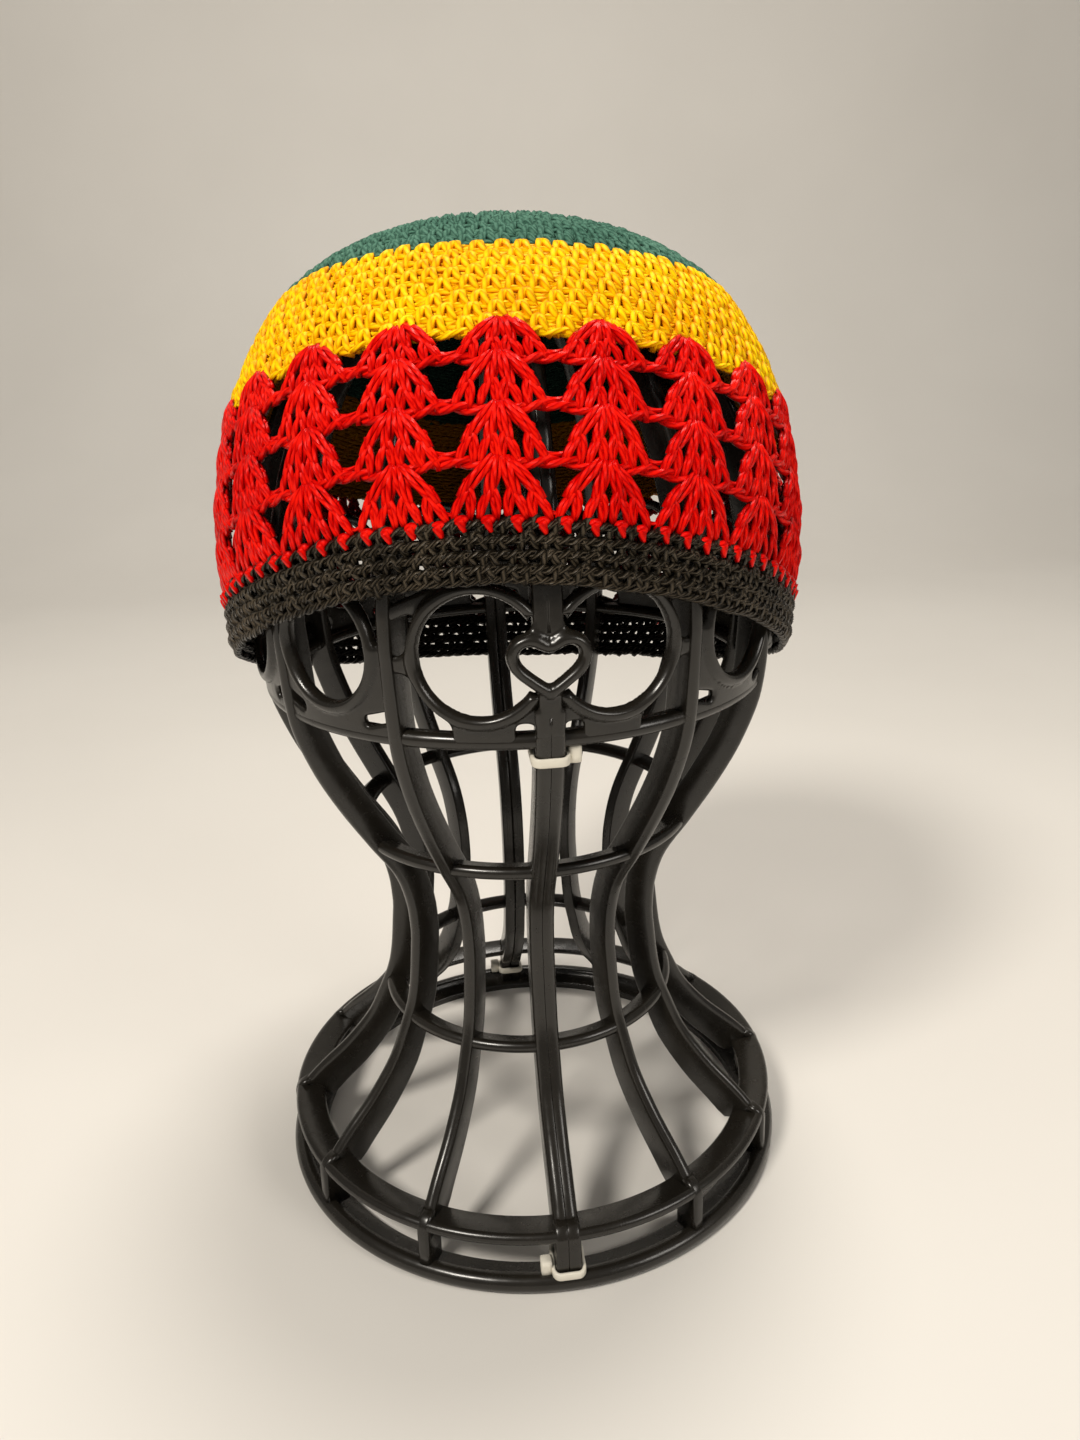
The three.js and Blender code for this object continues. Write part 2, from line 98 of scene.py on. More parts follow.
# A blade's toe, where it leaves its post: shares of the rib's depth, and lengths up the blade
TOE_START = 0.55
TOE_SWELL = 0.7
TOE_ROUND = 4.0
TOE_WANE = 0.25
TOE_WANE_FROM = 6.0
TOE_WANE_LENGTH = 35.0
TOE_INSET = 2.3
TOE_LENGTH = 22.0
TAPER_END = 0.32
BLADE_STEP = 2.6

# Level rings: node, height, edge out from the ribs' line, bead's radius, width, plate's thickness
RINGS = [
    ("base_ring", BASE_HEIGHT, 0.4, 2.0, 11.0, 2.4),
    ("waist_ring", WAIST_HEIGHT, -1.4, 2.1, 7.5, 2.6),
    ("jaw_ring", JAW_HEIGHT, -1.4, 2.1, 7.5, 2.6),
    ("brow_ring", BROW_HEIGHT, -1.2, 2.4, 7.5, 3.4),
]
BEAD_SWEEP = 2.2

# Foot ring: its edge beyond the ribs, its bead, and its section inside the bead as (inward, height)
FOOT_EDGE = 2.6
FOOT_BEAD = (3.0, 3.1)
FOOT_STEPS = [(4.6, 5.9), (5.6, 5.0), (5.9, 3.2), (11.5, 2.9), (12.1, 2.3), (12.1, 0.0)]

# The ribs' outer edge: (share of the way up, share of the way out), to the neck and to the head
FOOT_FLARE = [(0, 1), (0.1, 0.81), (0.24, 0.52), (0.38, 0.31), (0.5, 0.2), (0.69, 0.07), (1, 0)]
HEAD_FLARE = [
    (0, 0),
    (0.103, 0.023),
    (0.21, 0.12),
    (0.328, 0.345),
    (0.472, 0.605),
    (0.6, 0.795),
    (0.75, 0.94),
    (1, 1),
]

# Brow band: loops, webs and heart
LOOP_HOLE = 16.7
LOOP_BEAD = 3.8
LOOP_CENTRE = 210.8
FRONT_LOOP_ANGLE = math.radians(12.7)
BAY_HOLE = 15.9
HEART_BEAD = 3.7
HEART_LOW = 201.5
HEART_HIGH = 214.5
BAND_STEP = 0.65
BAND_FOOT = BROW_HEIGHT - 1.5

# Plates beside the heart, on its right: left, right, low, high
LOOP_WEB = (9.8, 28.0, BAND_FOOT, BROW_HEIGHT + 12)
LOOP_HEEL = (3.4, 12.0, BROW_HEIGHT + 5.6, BROW_HEIGHT + 12)
LOOP_TOUCH = (38.0, 46.0, 205.5, 210.5)
HEART_GAP = (-9.0, 5.2, 200.5, 221.5)
HEART_POST = (0.6, 4.0, BROW_HEIGHT + 4, 198.5)

# Plates above and below the heart: left, right, low, high
HEART_NECK = (-3.2, 3.2, HEART_LOW - 9, HEART_LOW - 1.5)
HEART_STEM = (-4.2, 4.2, HEART_LOW - 14, HEART_LOW - 6)
HEART_CREST = (-4.2, 4.2, HEART_HIGH + 2, HEART_HIGH + 17)

# Strut from a front loop to the next rib: its two ends and its radius
LOOP_STRUT = ((46.5, 221.2), (28.0, 229.0), 2.1)

# Slots in a bay's lower corners: ends as (in from the rib, up from the brow ring), and radius
BAY_PLATE_HEIGHT = 27.0
SLOT_INNER = (8.5, 4.6)
SLOT_OUTER = (2.5, 6.2)
SLOT_RADIUS = 1.6

# Relief of the band: its plate inside the ribs' line, and how front, beads, back and seam stand off it
PLATE_INSET = 3.0
PLATE_FRONT = 1.0
PLATE_BACK = 2.0
BEAD_RISE = 1.7
BEAD_MARGIN = 0.25
EDGE_ROUND = 1.5
EDGE_FILLET = 0.6
BAND_LIFT = 0.6
HEART_LIFT = 2.25
SEAM_DEPTH = 0.55
SEAM_WIDTH = 0.45

# Middle of the heart's bead, right half: across, height
HEART_HALF = [
    (0.0, 213.8),
    (1.8, 214.5),
    (4.0, 215.6),
    (6.4, 215.7),
    (8.8, 214.3),
    (9.9, 211.8),
    (9.4, 209.2),
    (7.6, 206.7),
    (5.1, 204.6),
    (2.6, 202.7),
    (0.0, 201.1),
]

# Hat: heights along its own axis from the rim up, and its place on the stand
HAT_HEIGHT = 132.7
RIM_HEIGHT = 16.4
LACE_HEIGHT = 50.9
YELLOW_HEIGHT = 34.9
GIRTH_RADIUS = 95.1
OVALNESS = 1.044
TILT_BACK = math.radians(20.95)
LEAN_RIGHT = math.radians(1.33)
HAT_OFFSET = (-1.2, -5.2, 193.43)
COLUMNS = 22
COLUMN_TURN = math.radians(-1.4)
STITCHES = 4 * COLUMNS

# Middle of the hat, from which the yarn's painted shade is worked out
HAT_CENTRE = (0.0, 14.0, 245.0)

# Outer shape of the hat: share of its height, share of its girth, lift of front and back
HAT_SECTIONS = [
    (0, 0.954, 4.9),
    (0.124, 0.977, 4),
    (0.26, 0.998, 3),
    (0.38, 0.992, 2.1),
    (0.507, 0.968, 1.3),
    (0.6, 0.93, 0.2),
    (0.685, 0.878, -1.1),
    (0.77, 0.803, -2.2),
    (0.85, 0.69, -1.8),
    (0.915, 0.545, -1.2),
    (0.96, 0.38, -0.6),
    (0.99, 0.19, -0.2),
    (1, 0, 0),
]

# Rounds of shells, from the top: height of the shells' tips above the rim
SHELL_TIPS = [70.4, 59.9, 46.3, 31.5]

# Yarn: radii, and places in the fabric counted out from the hat's skin
YARN_RADIUS = 1.16
YARN_UV = "yarn"
FABRIC_MIDDLE = -1.3
FABRIC_SWING = 0.8
ROUND_HEIGHT = 4.1
ROUND_SHIFT = 0.37
RIDGE_OUT = -0.1
STITCH_WIDTH = 5.3
YELLOW_ROUNDS = 8
RIM_ROUNDS = 4


def smooth_table(rows, column, x):
    """A table's column at x, along a smooth curve through its rows."""
    xs = np.array([row[0] for row in rows], float)
    ys = np.array([row[column] for row in rows], float)
    slopes = np.empty_like(ys)
    slopes[1:-1] = (ys[2:] - ys[:-2]) / (xs[2:] - xs[:-2])
    slopes[0] = (ys[1] - ys[0]) / (xs[1] - xs[0])
    slopes[-1] = (ys[-1] - ys[-2]) / (xs[-1] - xs[-2])
    x = np.clip(np.asarray(x, float), xs[0], xs[-1])
    i = np.clip(np.searchsorted(xs, x, side="right") - 1, 0, len(xs) - 2)
    span = xs[i + 1] - xs[i]
    t = (x - xs[i]) / span
    ease = t * t * (3 - 2 * t)
    curl = t * (1 - t) * span * (slopes[i] * (1 - t) - slopes[i + 1] * t)
    return ys[i] * (1 - ease) + ys[i + 1] * ease + curl


def stand_radius(z):
    """Radius of the ribs' outer edge at a height."""
    z = np.asarray(z, float)
    low = (z - POST_HEIGHT) / (NECK_HEIGHT - POST_HEIGHT)
    high = (z - NECK_HEIGHT) / (HEAD_HEIGHT - NECK_HEIGHT)
    rise = np.clip((z - HEAD_HEIGHT) / DOME_RISE, 0, 1)
    flare = NECK_RADIUS + (FOOT_RADIUS - NECK_RADIUS) * smooth_table(FOOT_FLARE, 1, low)
    head = NECK_RADIUS + (HEAD_RADIUS - NECK_RADIUS) * smooth_table(HEAD_FLARE, 1, high)
    dome = HEAD_RADIUS * np.sqrt(1 - rise * rise)
    above = np.where(z <= NECK_HEIGHT, flare, np.where(rise > 0, dome, head))
    return np.where(z <= POST_HEIGHT, FOOT_RADIUS, above)


def unit(vectors):
    length = np.linalg.norm(vectors, axis=-1, keepdims=True)
    return vectors / np.maximum(length, 1e-9)


def new_mesh(name, points, corners, totals, uvs=None):
    """A smooth mesh from points in millimetres; totals counts the corners that each face takes."""
    mesh = bpy.data.meshes.new(name)
    mesh.vertices.add(len(points))
    mesh.vertices.foreach_set("co", ((points + AXIS) * MM).astype(np.float32).ravel())
    mesh.loops.add(len(corners))
    mesh.loops.foreach_set("vertex_index", corners.astype(np.int32))
    mesh.polygons.add(len(totals))
    mesh.polygons.foreach_set("loop_start", (np.cumsum(totals) - totals).astype(np.int32))
    mesh.polygons.foreach_set("loop_total", totals.astype(np.int32))
    mesh.polygons.foreach_set("use_smooth", np.ones(len(totals), bool))
    if uvs is not None:
        layer = mesh.uv_layers.new(name=YARN_UV)
        layer.data.foreach_set("uv", uvs.astype(np.float32).ravel())
    mesh.update(calc_edges=True)
    return mesh


def new_piece(name, mesh, slot, replaced):
    """A piece that rides on the one body, with its slot's material, in place of the named solids."""
    piece = bpy.data.objects.new(name, mesh)
    bpy.context.scene.collection.objects.link(piece)
    mesh.materials.append(MATERIALS[slot])
    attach(piece, "root")
    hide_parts(*replaced)


def make_piece(name, points, faces, slot, replaced):
    """A piece from points and from faces that are tuples of corners."""
    totals = np.array([len(face) for face in faces])
    corners = np.concatenate([np.asarray(face) for face in faces])
    mesh = new_mesh(name, points, corners, totals)
    mesh.validate()
    new_piece(name, mesh, slot, replaced)


def make_moulding(name, points, faces, *nodes):
    """A black plastic piece for the named solids, or for the one that has its name."""
    make_piece(name + "_moulding", points, faces, "black_plastic", nodes or [name])


class Yarn:
    """Collects tubes along many paths, then makes one mesh of them."""

    def __init__(self):
        self.points = []
        self.faces = []
        self.totals = []
        self.uvs = []
        self.count = 0

    def tubes(self, paths, normals, radius, sides=5, closed=False):
        """paths and normals are (strands, points, 3); a closed path ends where it starts."""
        strands, length, _ = paths.shape
        if closed:
            tangent = unit(np.roll(paths, -1, axis=1) - np.roll(paths, 1, axis=1))
        else:
            tangent = unit(np.gradient(paths, axis=1))
        side = unit(np.cross(tangent, normals))
        up = np.cross(side, tangent)
        radius = np.broadcast_to(np.asarray(radius, float), (strands, length))[..., None, None]
        angle = np.arange(sides) * math.tau / sides
        ring = side[:, :, None] * np.cos(angle)[:, None] + up[:, :, None] * np.sin(angle)[:, None]
        self.points.append((paths[:, :, None] + ring * radius).reshape(-1, 3))

        # Faces between one ring of corners and the next; a closed tube's last ring meets its first
        spans = length if closed else length - 1
        strand, i, k = np.meshgrid(np.arange(strands), np.arange(spans), np.arange(sides), indexing="ij")
        here = self.count + (strand * length + i) * sides
        there = self.count + (strand * length + (i + 1) % length) * sides
        k_next = (k + 1) % sides
        quads = np.stack([here + k, here + k_next, there + k_next, there + k], -1)
        self.faces.append(quads.ravel())
        self.totals.append(np.full(strand.size, 4))

        # UVs: share of the way round, and millimetres along
        step = np.linalg.norm(np.diff(paths, axis=1), axis=-1)
        run = np.concatenate([np.zeros((strands, 1)), np.cumsum(step, axis=1)], axis=1)
        start = run[strand, i]
        ahead = run[strand, np.minimum(i + 1, length - 1)]
        end = np.where(i + 1 < length, ahead, start + step.mean())
        around = np.stack([k, k + 1, k + 1, k], -1) / sides
        along = np.stack([start, start, end, end], -1)
        self.uvs.append(np.stack([around, along], -1).reshape(-1, 2))
        if not closed:
            base = self.count + np.arange(strands)[:, None] * length * sides
            self.add_caps(base + np.arange(sides)[::-1], run[:, 0])
            self.add_caps(base + (length - 1) * sides + np.arange(sides), run[:, -1])
        self.count += strands * length * sides

    def add_caps(self, corners, run):
        """End faces, one to a strand, each at its length along."""
        strands, sides = corners.shape
        self.faces.append(corners.ravel())
        self.totals.append(np.full(strands, sides))
        along = np.repeat(run[:, None], sides, 1)
        self.uvs.append(np.stack([np.zeros((strands, sides)), along], -1).reshape(-1, 2))

    def make(self, name, slot, node):
        corners = np.concatenate(self.faces)
        totals = np.concatenate(self.totals)
        uvs = np.concatenate(self.uvs)
        mesh = new_mesh(name, np.concatenate(self.points), corners, totals, uvs)
        new_piece(name, mesh, slot, [node])


# Materials
class Shading:
    """A material's nodes, with a short call for each kind that is used here."""

    def __init__(self, name):
        self.material = bpy.data.materials.new(name)
        self.material.use_nodes = True
        self.nodes = self.material.node_tree.nodes
        self.coordinates = self.nodes.new("ShaderNodeTexCoord").outputs

    def put(self, value, socket):
        """Links another node's output to a socket, or sets the socket to a plain value."""
        if isinstance(value, bpy.types.NodeSocket):
            self.material.node_tree.links.new(value, socket)
        else:
            socket.default_value = value

    def finish(self, values):
        """Gives the shader its values by the names of its sockets."""
        for name, value in values.items():
            self.put(value, self.nodes["Principled BSDF"].inputs[name])
        return self.material

    def node(self, kind, inputs, output, operation=None):
        """A node with some inputs, by name or number, and the output that is wanted of it."""
        node = self.nodes.new(kind)
        if operation:
            node.operation = operation
        for key, value in inputs.items():
            self.put(value, node.inputs[key])
        return node.outputs[output]

    def noise(self, scale, detail, roughness):
        inputs = {"Vector": self.coordinates["Object"]}
        inputs |= {"Scale": scale, "Detail": detail, "Roughness": roughness}
        return self.node("ShaderNodeTexNoise", inputs, "Fac")

    def maths(self, operation, first, second=0.0):
        return self.node("ShaderNodeMath", {0: first, 1: second}, "Value", operation)

    def map_range(self, value, source, result):
        inputs = {"Value": value, "From Min": source[0], "From Max": source[1]}
        inputs |= {"To Min": result[0], "To Max": result[1]}
        return self.node("ShaderNodeMapRange", inputs, "Result")

    def bump(self, height, strength, distance):
        inputs = {"Height": height, "Strength": strength, "Distance": distance * MM}
        return self.node("ShaderNodeBump", inputs, "Normal")

    def ramp(self, share, stops):
        node = self.nodes.new("ShaderNodeValToRGB")
        self.put(share, node.inputs["Fac"])
        elements = node.color_ramp.elements
        while len(elements) < len(stops):
            elements.new(0.5)
        for element, (place, colour) in zip(elements, stops):
            element.position = place
            element.color = (*colour, 1)
        return node.outputs["Color"]

    def facing_out(self):
        """How far the surface faces away from the middle of the hat, from -1 to 1."""
        kind = "ShaderNodeVectorMath"
        middle = [(c + a) * MM for c, a in zip(HAT_CENTRE, AXIS)]
        offset = self.node(kind, {0: self.coordinates["Object"], 1: middle}, "Vector", "SUBTRACT")
        direction = self.node(kind, {0: offset}, "Vector", "NORMALIZE")
        return self.node(kind, {0: direction, 1: self.coordinates["Normal"]}, "Value", "DOT_PRODUCT")


def yarn_material(name, dark, middle, bright, roughness, sheen, plies, twist, fuzz, specular, depth):
    """Twisted yarn: plies wind round each strand, with painted shade in the valleys between plies, on
    each strand's flanks and on the hat's inner side.
    """
    shading = Shading(name)
    maths = shading.maths
    uv = shading.nodes.new("ShaderNodeUVMap")
    uv.uv_map = YARN_UV
    split = shading.nodes.new("ShaderNodeSeparateXYZ")
    shading.put(uv.outputs["UV"], split.inputs["Vector"])
    around = maths("MULTIPLY", split.outputs["X"], math.pi * plies)
    along = maths("MULTIPLY", split.outputs["Y"], math.pi / twist)
    wobble = maths("MULTIPLY", shading.noise(260, 2, 0.5), 1.2)
    phase = maths("ADD", maths("SUBTRACT", around, along), wobble)
    stripes = maths("ABSOLUTE", maths("SINE", phase))
    cloud = maths("MULTIPLY", shading.noise(60, 2, 0.5), 0.62)
    # Painted shade in the valleys between plies, with random tone from the cloud
    lit = maths("ADD", maths("MULTIPLY", stripes, 0.42), cloud)
    facing = shading.facing_out()
    # Painted shade on each strand's flanks: the level falls where the surface faces less far out
    level = maths("MULTIPLY", lit, shading.map_range(facing, (0.05, 0.8), (0.3, 1.04)))
    # The ramp gives shaded and lit copies of the yarn's colour: its dark stop is painted shade, its
    # bright stop painted highlight
    colour = shading.ramp(level, [(0.12, dark), (0.5, middle), (0.85, bright)])
    # Painted shade: the colour dims to about a fifth where the surface faces the middle of the hat
    painted_inner_shade = shading.map_range(facing, (-0.4, 0.15), (0.22, 1.0))
    scale = {0: colour, "Scale": painted_inner_shade}
    hairs = maths("MULTIPLY", shading.noise(2600, 4, 0.7), fuzz)
    return shading.finish(
        {
            "Base Color": shading.node("ShaderNodeVectorMath", scale, "Vector", "SCALE"),
            "Normal": shading.bump(maths("ADD", stripes, hairs), 1.0, depth),
            "Roughness": roughness,
            "Specular IOR Level": specular,
            "Specular Tint": (*(0.1 + 0.9 * channel for channel in bright), 1),
            "Sheen Weight": sheen,
            "Sheen Roughness": 0.5,
            "Sheen Tint": (*bright, 1),
        }
    )


def plastic_material(name, base, light, roughness):
    """Glossy moulded plastic with faint unevenness and scuffs."""
    shading = Shading(name)
    colour = shading.ramp(shading.noise(35, 4, 0.6), [(0.3, base), (0.75, light)])
    scuffs = shading.maths("MULTIPLY", shading.noise(220, 5, 0.65), 0.22)
    return shading.finish(
        {
            "Base Color": colour,
            "Roughness": shading.maths("ADD", scuffs, roughness - 0.11),
            "Normal": shading.bump(shading.noise(90, 3, 0.5), 0.25, 0.6),
        }
    )


def floor_material():
    shading = Shading("pale_floor")
    stops = [(0.3, (0.72, 0.695, 0.655)), (0.7, (0.76, 0.735, 0.695))]
    colour = shading.ramp(shading.noise(3, 3, 0.5), stops)
    return shading.finish({"Base Color": colour, "Roughness": 0.55})


# Each slot's material; a yarn's twist is the length of one ply's turn, and its depth is the bump's
# A yarn's dark colour is its painted shade and its bright colour its painted highlight; the bright one
# also tints sheen and specular
MATERIALS = {
    "black_plastic": plastic_material(
        "black_plastic",
        base=(0.010, 0.0085, 0.0065),
        light=(0.017, 0.0145, 0.011),
        roughness=0.25,
    ),
    "white_plastic": plastic_material(
        "white_plastic",
        base=(0.7, 0.66, 0.56),
        light=(0.8, 0.76, 0.66),
        roughness=0.42,
    ),
    "green_yarn": yarn_material(
        "green_yarn",
        dark=(0.022, 0.065, 0.045),
        middle=(0.06, 0.16, 0.115),
        bright=(0.12, 0.26, 0.19),
        roughness=0.85,
        sheen=0.3,
        plies=5,
        twist=2.6,
        fuzz=1.3,
        specular=0.22,
        depth=0.35,
    ),
    "yellow_yarn": yarn_material(
        "yellow_yarn",
        dark=(0.62, 0.17, 0.0),
        middle=(0.95, 0.47, 0.0),
        bright=(1.0, 0.73, 0.001),
        roughness=0.5,
        sheen=0.0,
        plies=4,
        twist=3.6,
        fuzz=0.3,
        specular=0.26,
        depth=0.17,
    ),
    "red_yarn": yarn_material(
        "red_yarn",
        dark=(0.34, 0.0003, 0.0003),
        middle=(0.7, 0.001, 0.0005),
        bright=(0.97, 0.012, 0.003),
        roughness=0.36,
        sheen=0.0,
        plies=4,
        twist=4.4,
        fuzz=0.15,
        specular=0.42,
        depth=0.16,
    ),
    "black_yarn": yarn_material(
        "black_yarn",
        dark=(0.003, 0.0022, 0.0012),
        middle=(0.01, 0.0078, 0.0046),
        bright=(0.085, 0.066, 0.044),
        roughness=0.3,
        sheen=0.05,
        plies=5,
        twist=2.6,
        fuzz=0.5,
        specular=1.0,
        depth=0.42,
    ),
}


# Stand
def around_axis(radius, turn, height):
    """Points about the stand's axis; turn 0 is the front rib."""
    angle = np.asarray(turn) + FRONT_TURN
    return np.stack(np.broadcast_arrays(radius * np.sin(angle), -radius * np.cos(angle), height), -1)


def rounded_section(width, depth, left, right, inner):
    """Corners of a bar's section: across, and depth inward; left and right are the outer edge's radii."""
    corners = [
        (-width / 2 + left, left, left, math.pi, 1.5 * math.pi),
        (width / 2 - right, right, right, 1.5 * math.pi, 2 * math.pi),
        (width / 2 - inner, depth - inner, inner, 0, 0.5 * math.pi),
        (-width / 2 + inner, depth - inner, inner, 0.5 * math.pi, math.pi),
    ]
    points = []
    for across, inward, radius, start, end in corners:
        steps = 5 if radius > 1 else 3
        for angle in np.linspace(start, end, steps):
            points.append((across + radius * math.cos(angle), inward + radius * math.sin(angle)))
    return np.array(points)


def swept(stations, section, turn, offset=0.0):
    """A bar swept up a path of (radius, height, depth share) in the plane at an angle."""
    path = stations[:, :2]
    tangent = unit(np.gradient(path, axis=0))
    inward = np.stack([-tangent[:, 1], tangent[:, 0]], -1)
    depth = section[None, :, 1] * stations[:, 2:3]
    radius = path[:, 0:1] + inward[:, 0:1] * depth
    height = path[:, 1:2] + inward[:, 1:2] * depth
    angle = turn + FRONT_TURN
    across = section[None, :, 0] + offset
    x = radius * math.sin(angle) + across * math.cos(angle)
    y = -radius * math.cos(angle) + across * math.sin(angle)
    points = np.stack([x, y, height + 0 * x], -1)
    return loft(points)


def loft(points, closed=False):
    """Faces over rows of corner points; open rows get an end face each."""
    rows, sides, _ = points.shape
    faces = []
    for i in range(rows if closed else rows - 1):
        j = (i + 1) % rows
        for k in range(sides):
            m = (k + 1) % sides
            faces.append((i * sides + k, i * sides + m, j * sides + m, j * sides + k))
    if not closed:
        faces.append(tuple(range(sides))[::-1])
        faces.append(tuple((rows - 1) * sides + k for k in range(sides)))
    return points.reshape(-1, 3), faces


def joined(parts):
    """Several parts' points and faces as one part's."""
    points = []
    faces = []
    count = 0
    for part_points, part_faces in parts:
        points.append(part_points)
        faces.extend([tuple(corner + count for corner in face) for face in part_faces])
        count += len(part_points)
    return np.concatenate(points), faces


def turned_ring(section, segments=160):
    """A closed section of (radius, height) turned about the axis."""
    section = np.array(section)
    turns = np.arange(segments) * math.tau / segments
    points = around_axis(section[None, :, 0], turns[:, None], section[None, :, 1])
    return loft(points, closed=True)


def beaded_section(outer, height, bead, width, plate):
    """A flat plate with a round bead along its outer edge."""
    centre = outer - bead
    turns = np.linspace(-BEAD_SWEEP, BEAD_SWEEP, 13)
    points = [(centre + bead * math.cos(a), height + bead * math.sin(a)) for a in turns]
    inner = outer - width
    lip = plate / 3
    top = height + plate / 2
    bottom = height - plate / 2
    return points + [(inner + lip, top), (inner, top - lip), (inner, bottom + lip), (inner + lip, bottom)]


def foot_section():
    """The foot ring: a fat bead along its outer edge, with a low step inside it."""
    outer = FOOT_RADIUS + FOOT_EDGE
    across, rise = FOOT_BEAD
    turns = np.linspace(-0.5 * math.pi, 0.5 * math.pi, 9)
    bead = [(outer - across + across * math.cos(a), rise + rise * math.sin(a)) for a in turns]
    return bead + [(outer - inward, height) for inward, height in FOOT_STEPS]


def disc_section():
    """The disc where the ribs meet: a bevelled plate that follows the dome."""
    edge = HEAD_HEIGHT + DOME_RISE * math.sqrt(1 - (DISC_RADIUS / HEAD_RADIUS) ** 2)
    axis_gap = 0.01
    thickness = 4.0
    bevel = 1.0
    return [
        (axis_gap, edge - thickness),
        (DISC_RADIUS - bevel, edge - thickness),
        (DISC_RADIUS, edge - thickness + bevel),
        (DISC_RADIUS, edge - 0.8),
        (DISC_RADIUS - bevel, edge),
        (DISC_RADIUS / 2, TOP_HEIGHT - 0.6),
        (axis_gap, TOP_HEIGHT),
    ]


def blade_heights(low, high):
    """Heights of a blade's stations, up the wall and over the dome."""
    wall_top = min(high, HEAD_HEIGHT)
    wall = np.linspace(low, wall_top, max(int((wall_top - low) / BLADE_STEP), 4))
    if high <= HEAD_HEIGHT:
        return wall
    first = math.asin(max(low - HEAD_HEIGHT, 0) / DOME_RISE)
    last = math.acos((DISC_RADIUS - 2) / HEAD_RADIUS)
    dome = HEAD_HEIGHT + DOME_RISE * np.sin(np.linspace(first, last, 18))
    return np.concatenate([wall[:-1], dome]) if low < HEAD_HEIGHT else dome


def tapered(length, reach):
    """Share of the depth at a length from an end that grows shallow."""
    return np.clip(TAPER_END + (1 - TAPER_END) * length / reach, TAPER_END, 1)


def rib_blade(turn, low, high, section, offset=0.0, taper_low=0.0, taper_high=0.0):
    """A rib's blade between two heights; it swells out of its post, and tapers where told to."""
    heights = blade_heights(low, high)
    up = heights - low
    share = np.ones_like(heights)
    radii = stand_radius(heights)
    if low <= POST_HEIGHT:
        rounded = np.sqrt(1 - (1 - np.clip(up / TOE_ROUND, 0, 1)) ** 2)
        waned = np.clip((up - TOE_WANE_FROM) / TOE_WANE_LENGTH, 0, 1)
        share = TOE_START + TOE_SWELL * rounded - TOE_WANE * waned
        radii = radii - TOE_INSET * np.clip(1 - up / TOE_LENGTH, 0, 1) ** 1.3
    if taper_low:
        share = share * tapered(up, taper_low)
    if taper_high:
        share = share * tapered(high - heights, taper_high)
    return swept(np.stack([radii, heights, share], -1), section, turn, offset)


def rib_post(turn, section, offset=0.0):
    stations = np.array(POST_STATIONS) + (FOOT_RADIUS, 0, 0)
    return swept(stations, section, turn, offset)


def half_section(side, depth, edge, inner):
    """Half of a doubled rib: round at its outer edge on one side, and sharp at the seam."""
    left, right = (edge, SEAM_EDGE) if side < 0 else (SEAM_EDGE, edge)
    return rounded_section(HALF_WIDTH, depth, left, right, inner)


def make_single_ribs():
    section = rounded_section(RIB_WIDTH, RIB_DEPTH, RIB_EDGE, RIB_EDGE, BACK_EDGE)
    post = rounded_section(RIB_WIDTH, POST_DEPTH, RIB_POST_EDGE, RIB_POST_EDGE, BACK_EDGE)
    for k in range(1, RIBS):
        if k == RIBS // 2:
            continue
        turn = k * RIB_PITCH
        blade = rib_blade(turn, POST_HEIGHT, TOP_HEIGHT, section)
        make_moulding(f"rib_{k:02d}", *joined([rib_post(turn, post), blade]))


def make_double_ribs():
    """The front and back ribs, in halves; the front ones stop below and above the heart."""
    for word, side in (("left", -1), ("right", 1)):
        offset = side * HALF_OFFSET
        section = half_section(side, RIB_DEPTH, HALF_EDGE, BACK_EDGE)
        post = half_section(side, POST_DEPTH, HALF_POST_EDGE, HALF_POST_BACK_EDGE)
        below = rib_blade(0, POST_HEIGHT, HEART_LOW - 8, section, offset, taper_high=16)
        above = rib_blade(0, HEART_HIGH + 3, TOP_HEIGHT, section, offset, taper_low=9)
        front = joined([rib_post(0, post, offset), below, above])
        name = f"rib_front_{word}"
        make_moulding(name, *front, name, name + "_top")

        # At the back a rib's width runs the other way, so the halves change places along it
        section = half_section(-side, RIB_DEPTH, HALF_EDGE, BACK_EDGE)
        post = half_section(-side, POST_DEPTH, HALF_POST_EDGE, HALF_POST_BACK_EDGE)
        blade = rib_blade(math.pi, POST_HEIGHT, TOP_HEIGHT, section, -offset)
        make_moulding(f"rib_back_{word}", *joined([rib_post(math.pi, post, -offset), blade]))


def make_rings():
    make_moulding("foot_ring", *turned_ring(foot_section(), 200))
    for node, height, past, bead, width, plate in RINGS:
        outer = float(stand_radius(height)) + past
        make_moulding(node, *turned_ring(beaded_section(outer, height, bead, width, plate)))
    make_moulding("top_disc", *turned_ring(disc_section(), 48))


# Brow band, as a relief on the head: distances are negative inside the plastic
def circle_distance(x, y, cx, cy, radius):
    return np.hypot(x - cx, y - cy) - radius


def bar_distance(x, y, start, end, radius):
    ax, ay = start
    bx, by = end
    t = np.clip(((x - ax) * (bx - ax) + (y - ay) * (by - ay)) / ((bx - ax) ** 2 + (by - ay) ** 2), 0, 1)
    return np.hypot(x - ax - t * (bx - ax), y - ay - t * (by - ay)) - radius


def box_distance(x, y, left, right, low, high):
    dx = np.abs(x - (left + right) / 2) - (right - left) / 2
    dy = np.abs(y - (low + high) / 2) - (high - low) / 2
    return np.hypot(np.maximum(dx, 0), np.maximum(dy, 0)) + np.minimum(np.maximum(dx, dy), 0)


def blend_min(a, b, reach):
    """Union of two distances with a fillet."""
    h = np.clip(0.5 + 0.5 * (b - a) / reach, 0, 1)
    return b * (1 - h) + a * h - reach * h * (1 - h)


def blend_max(a, b, reach):
    return -blend_min(-a, -b, reach)


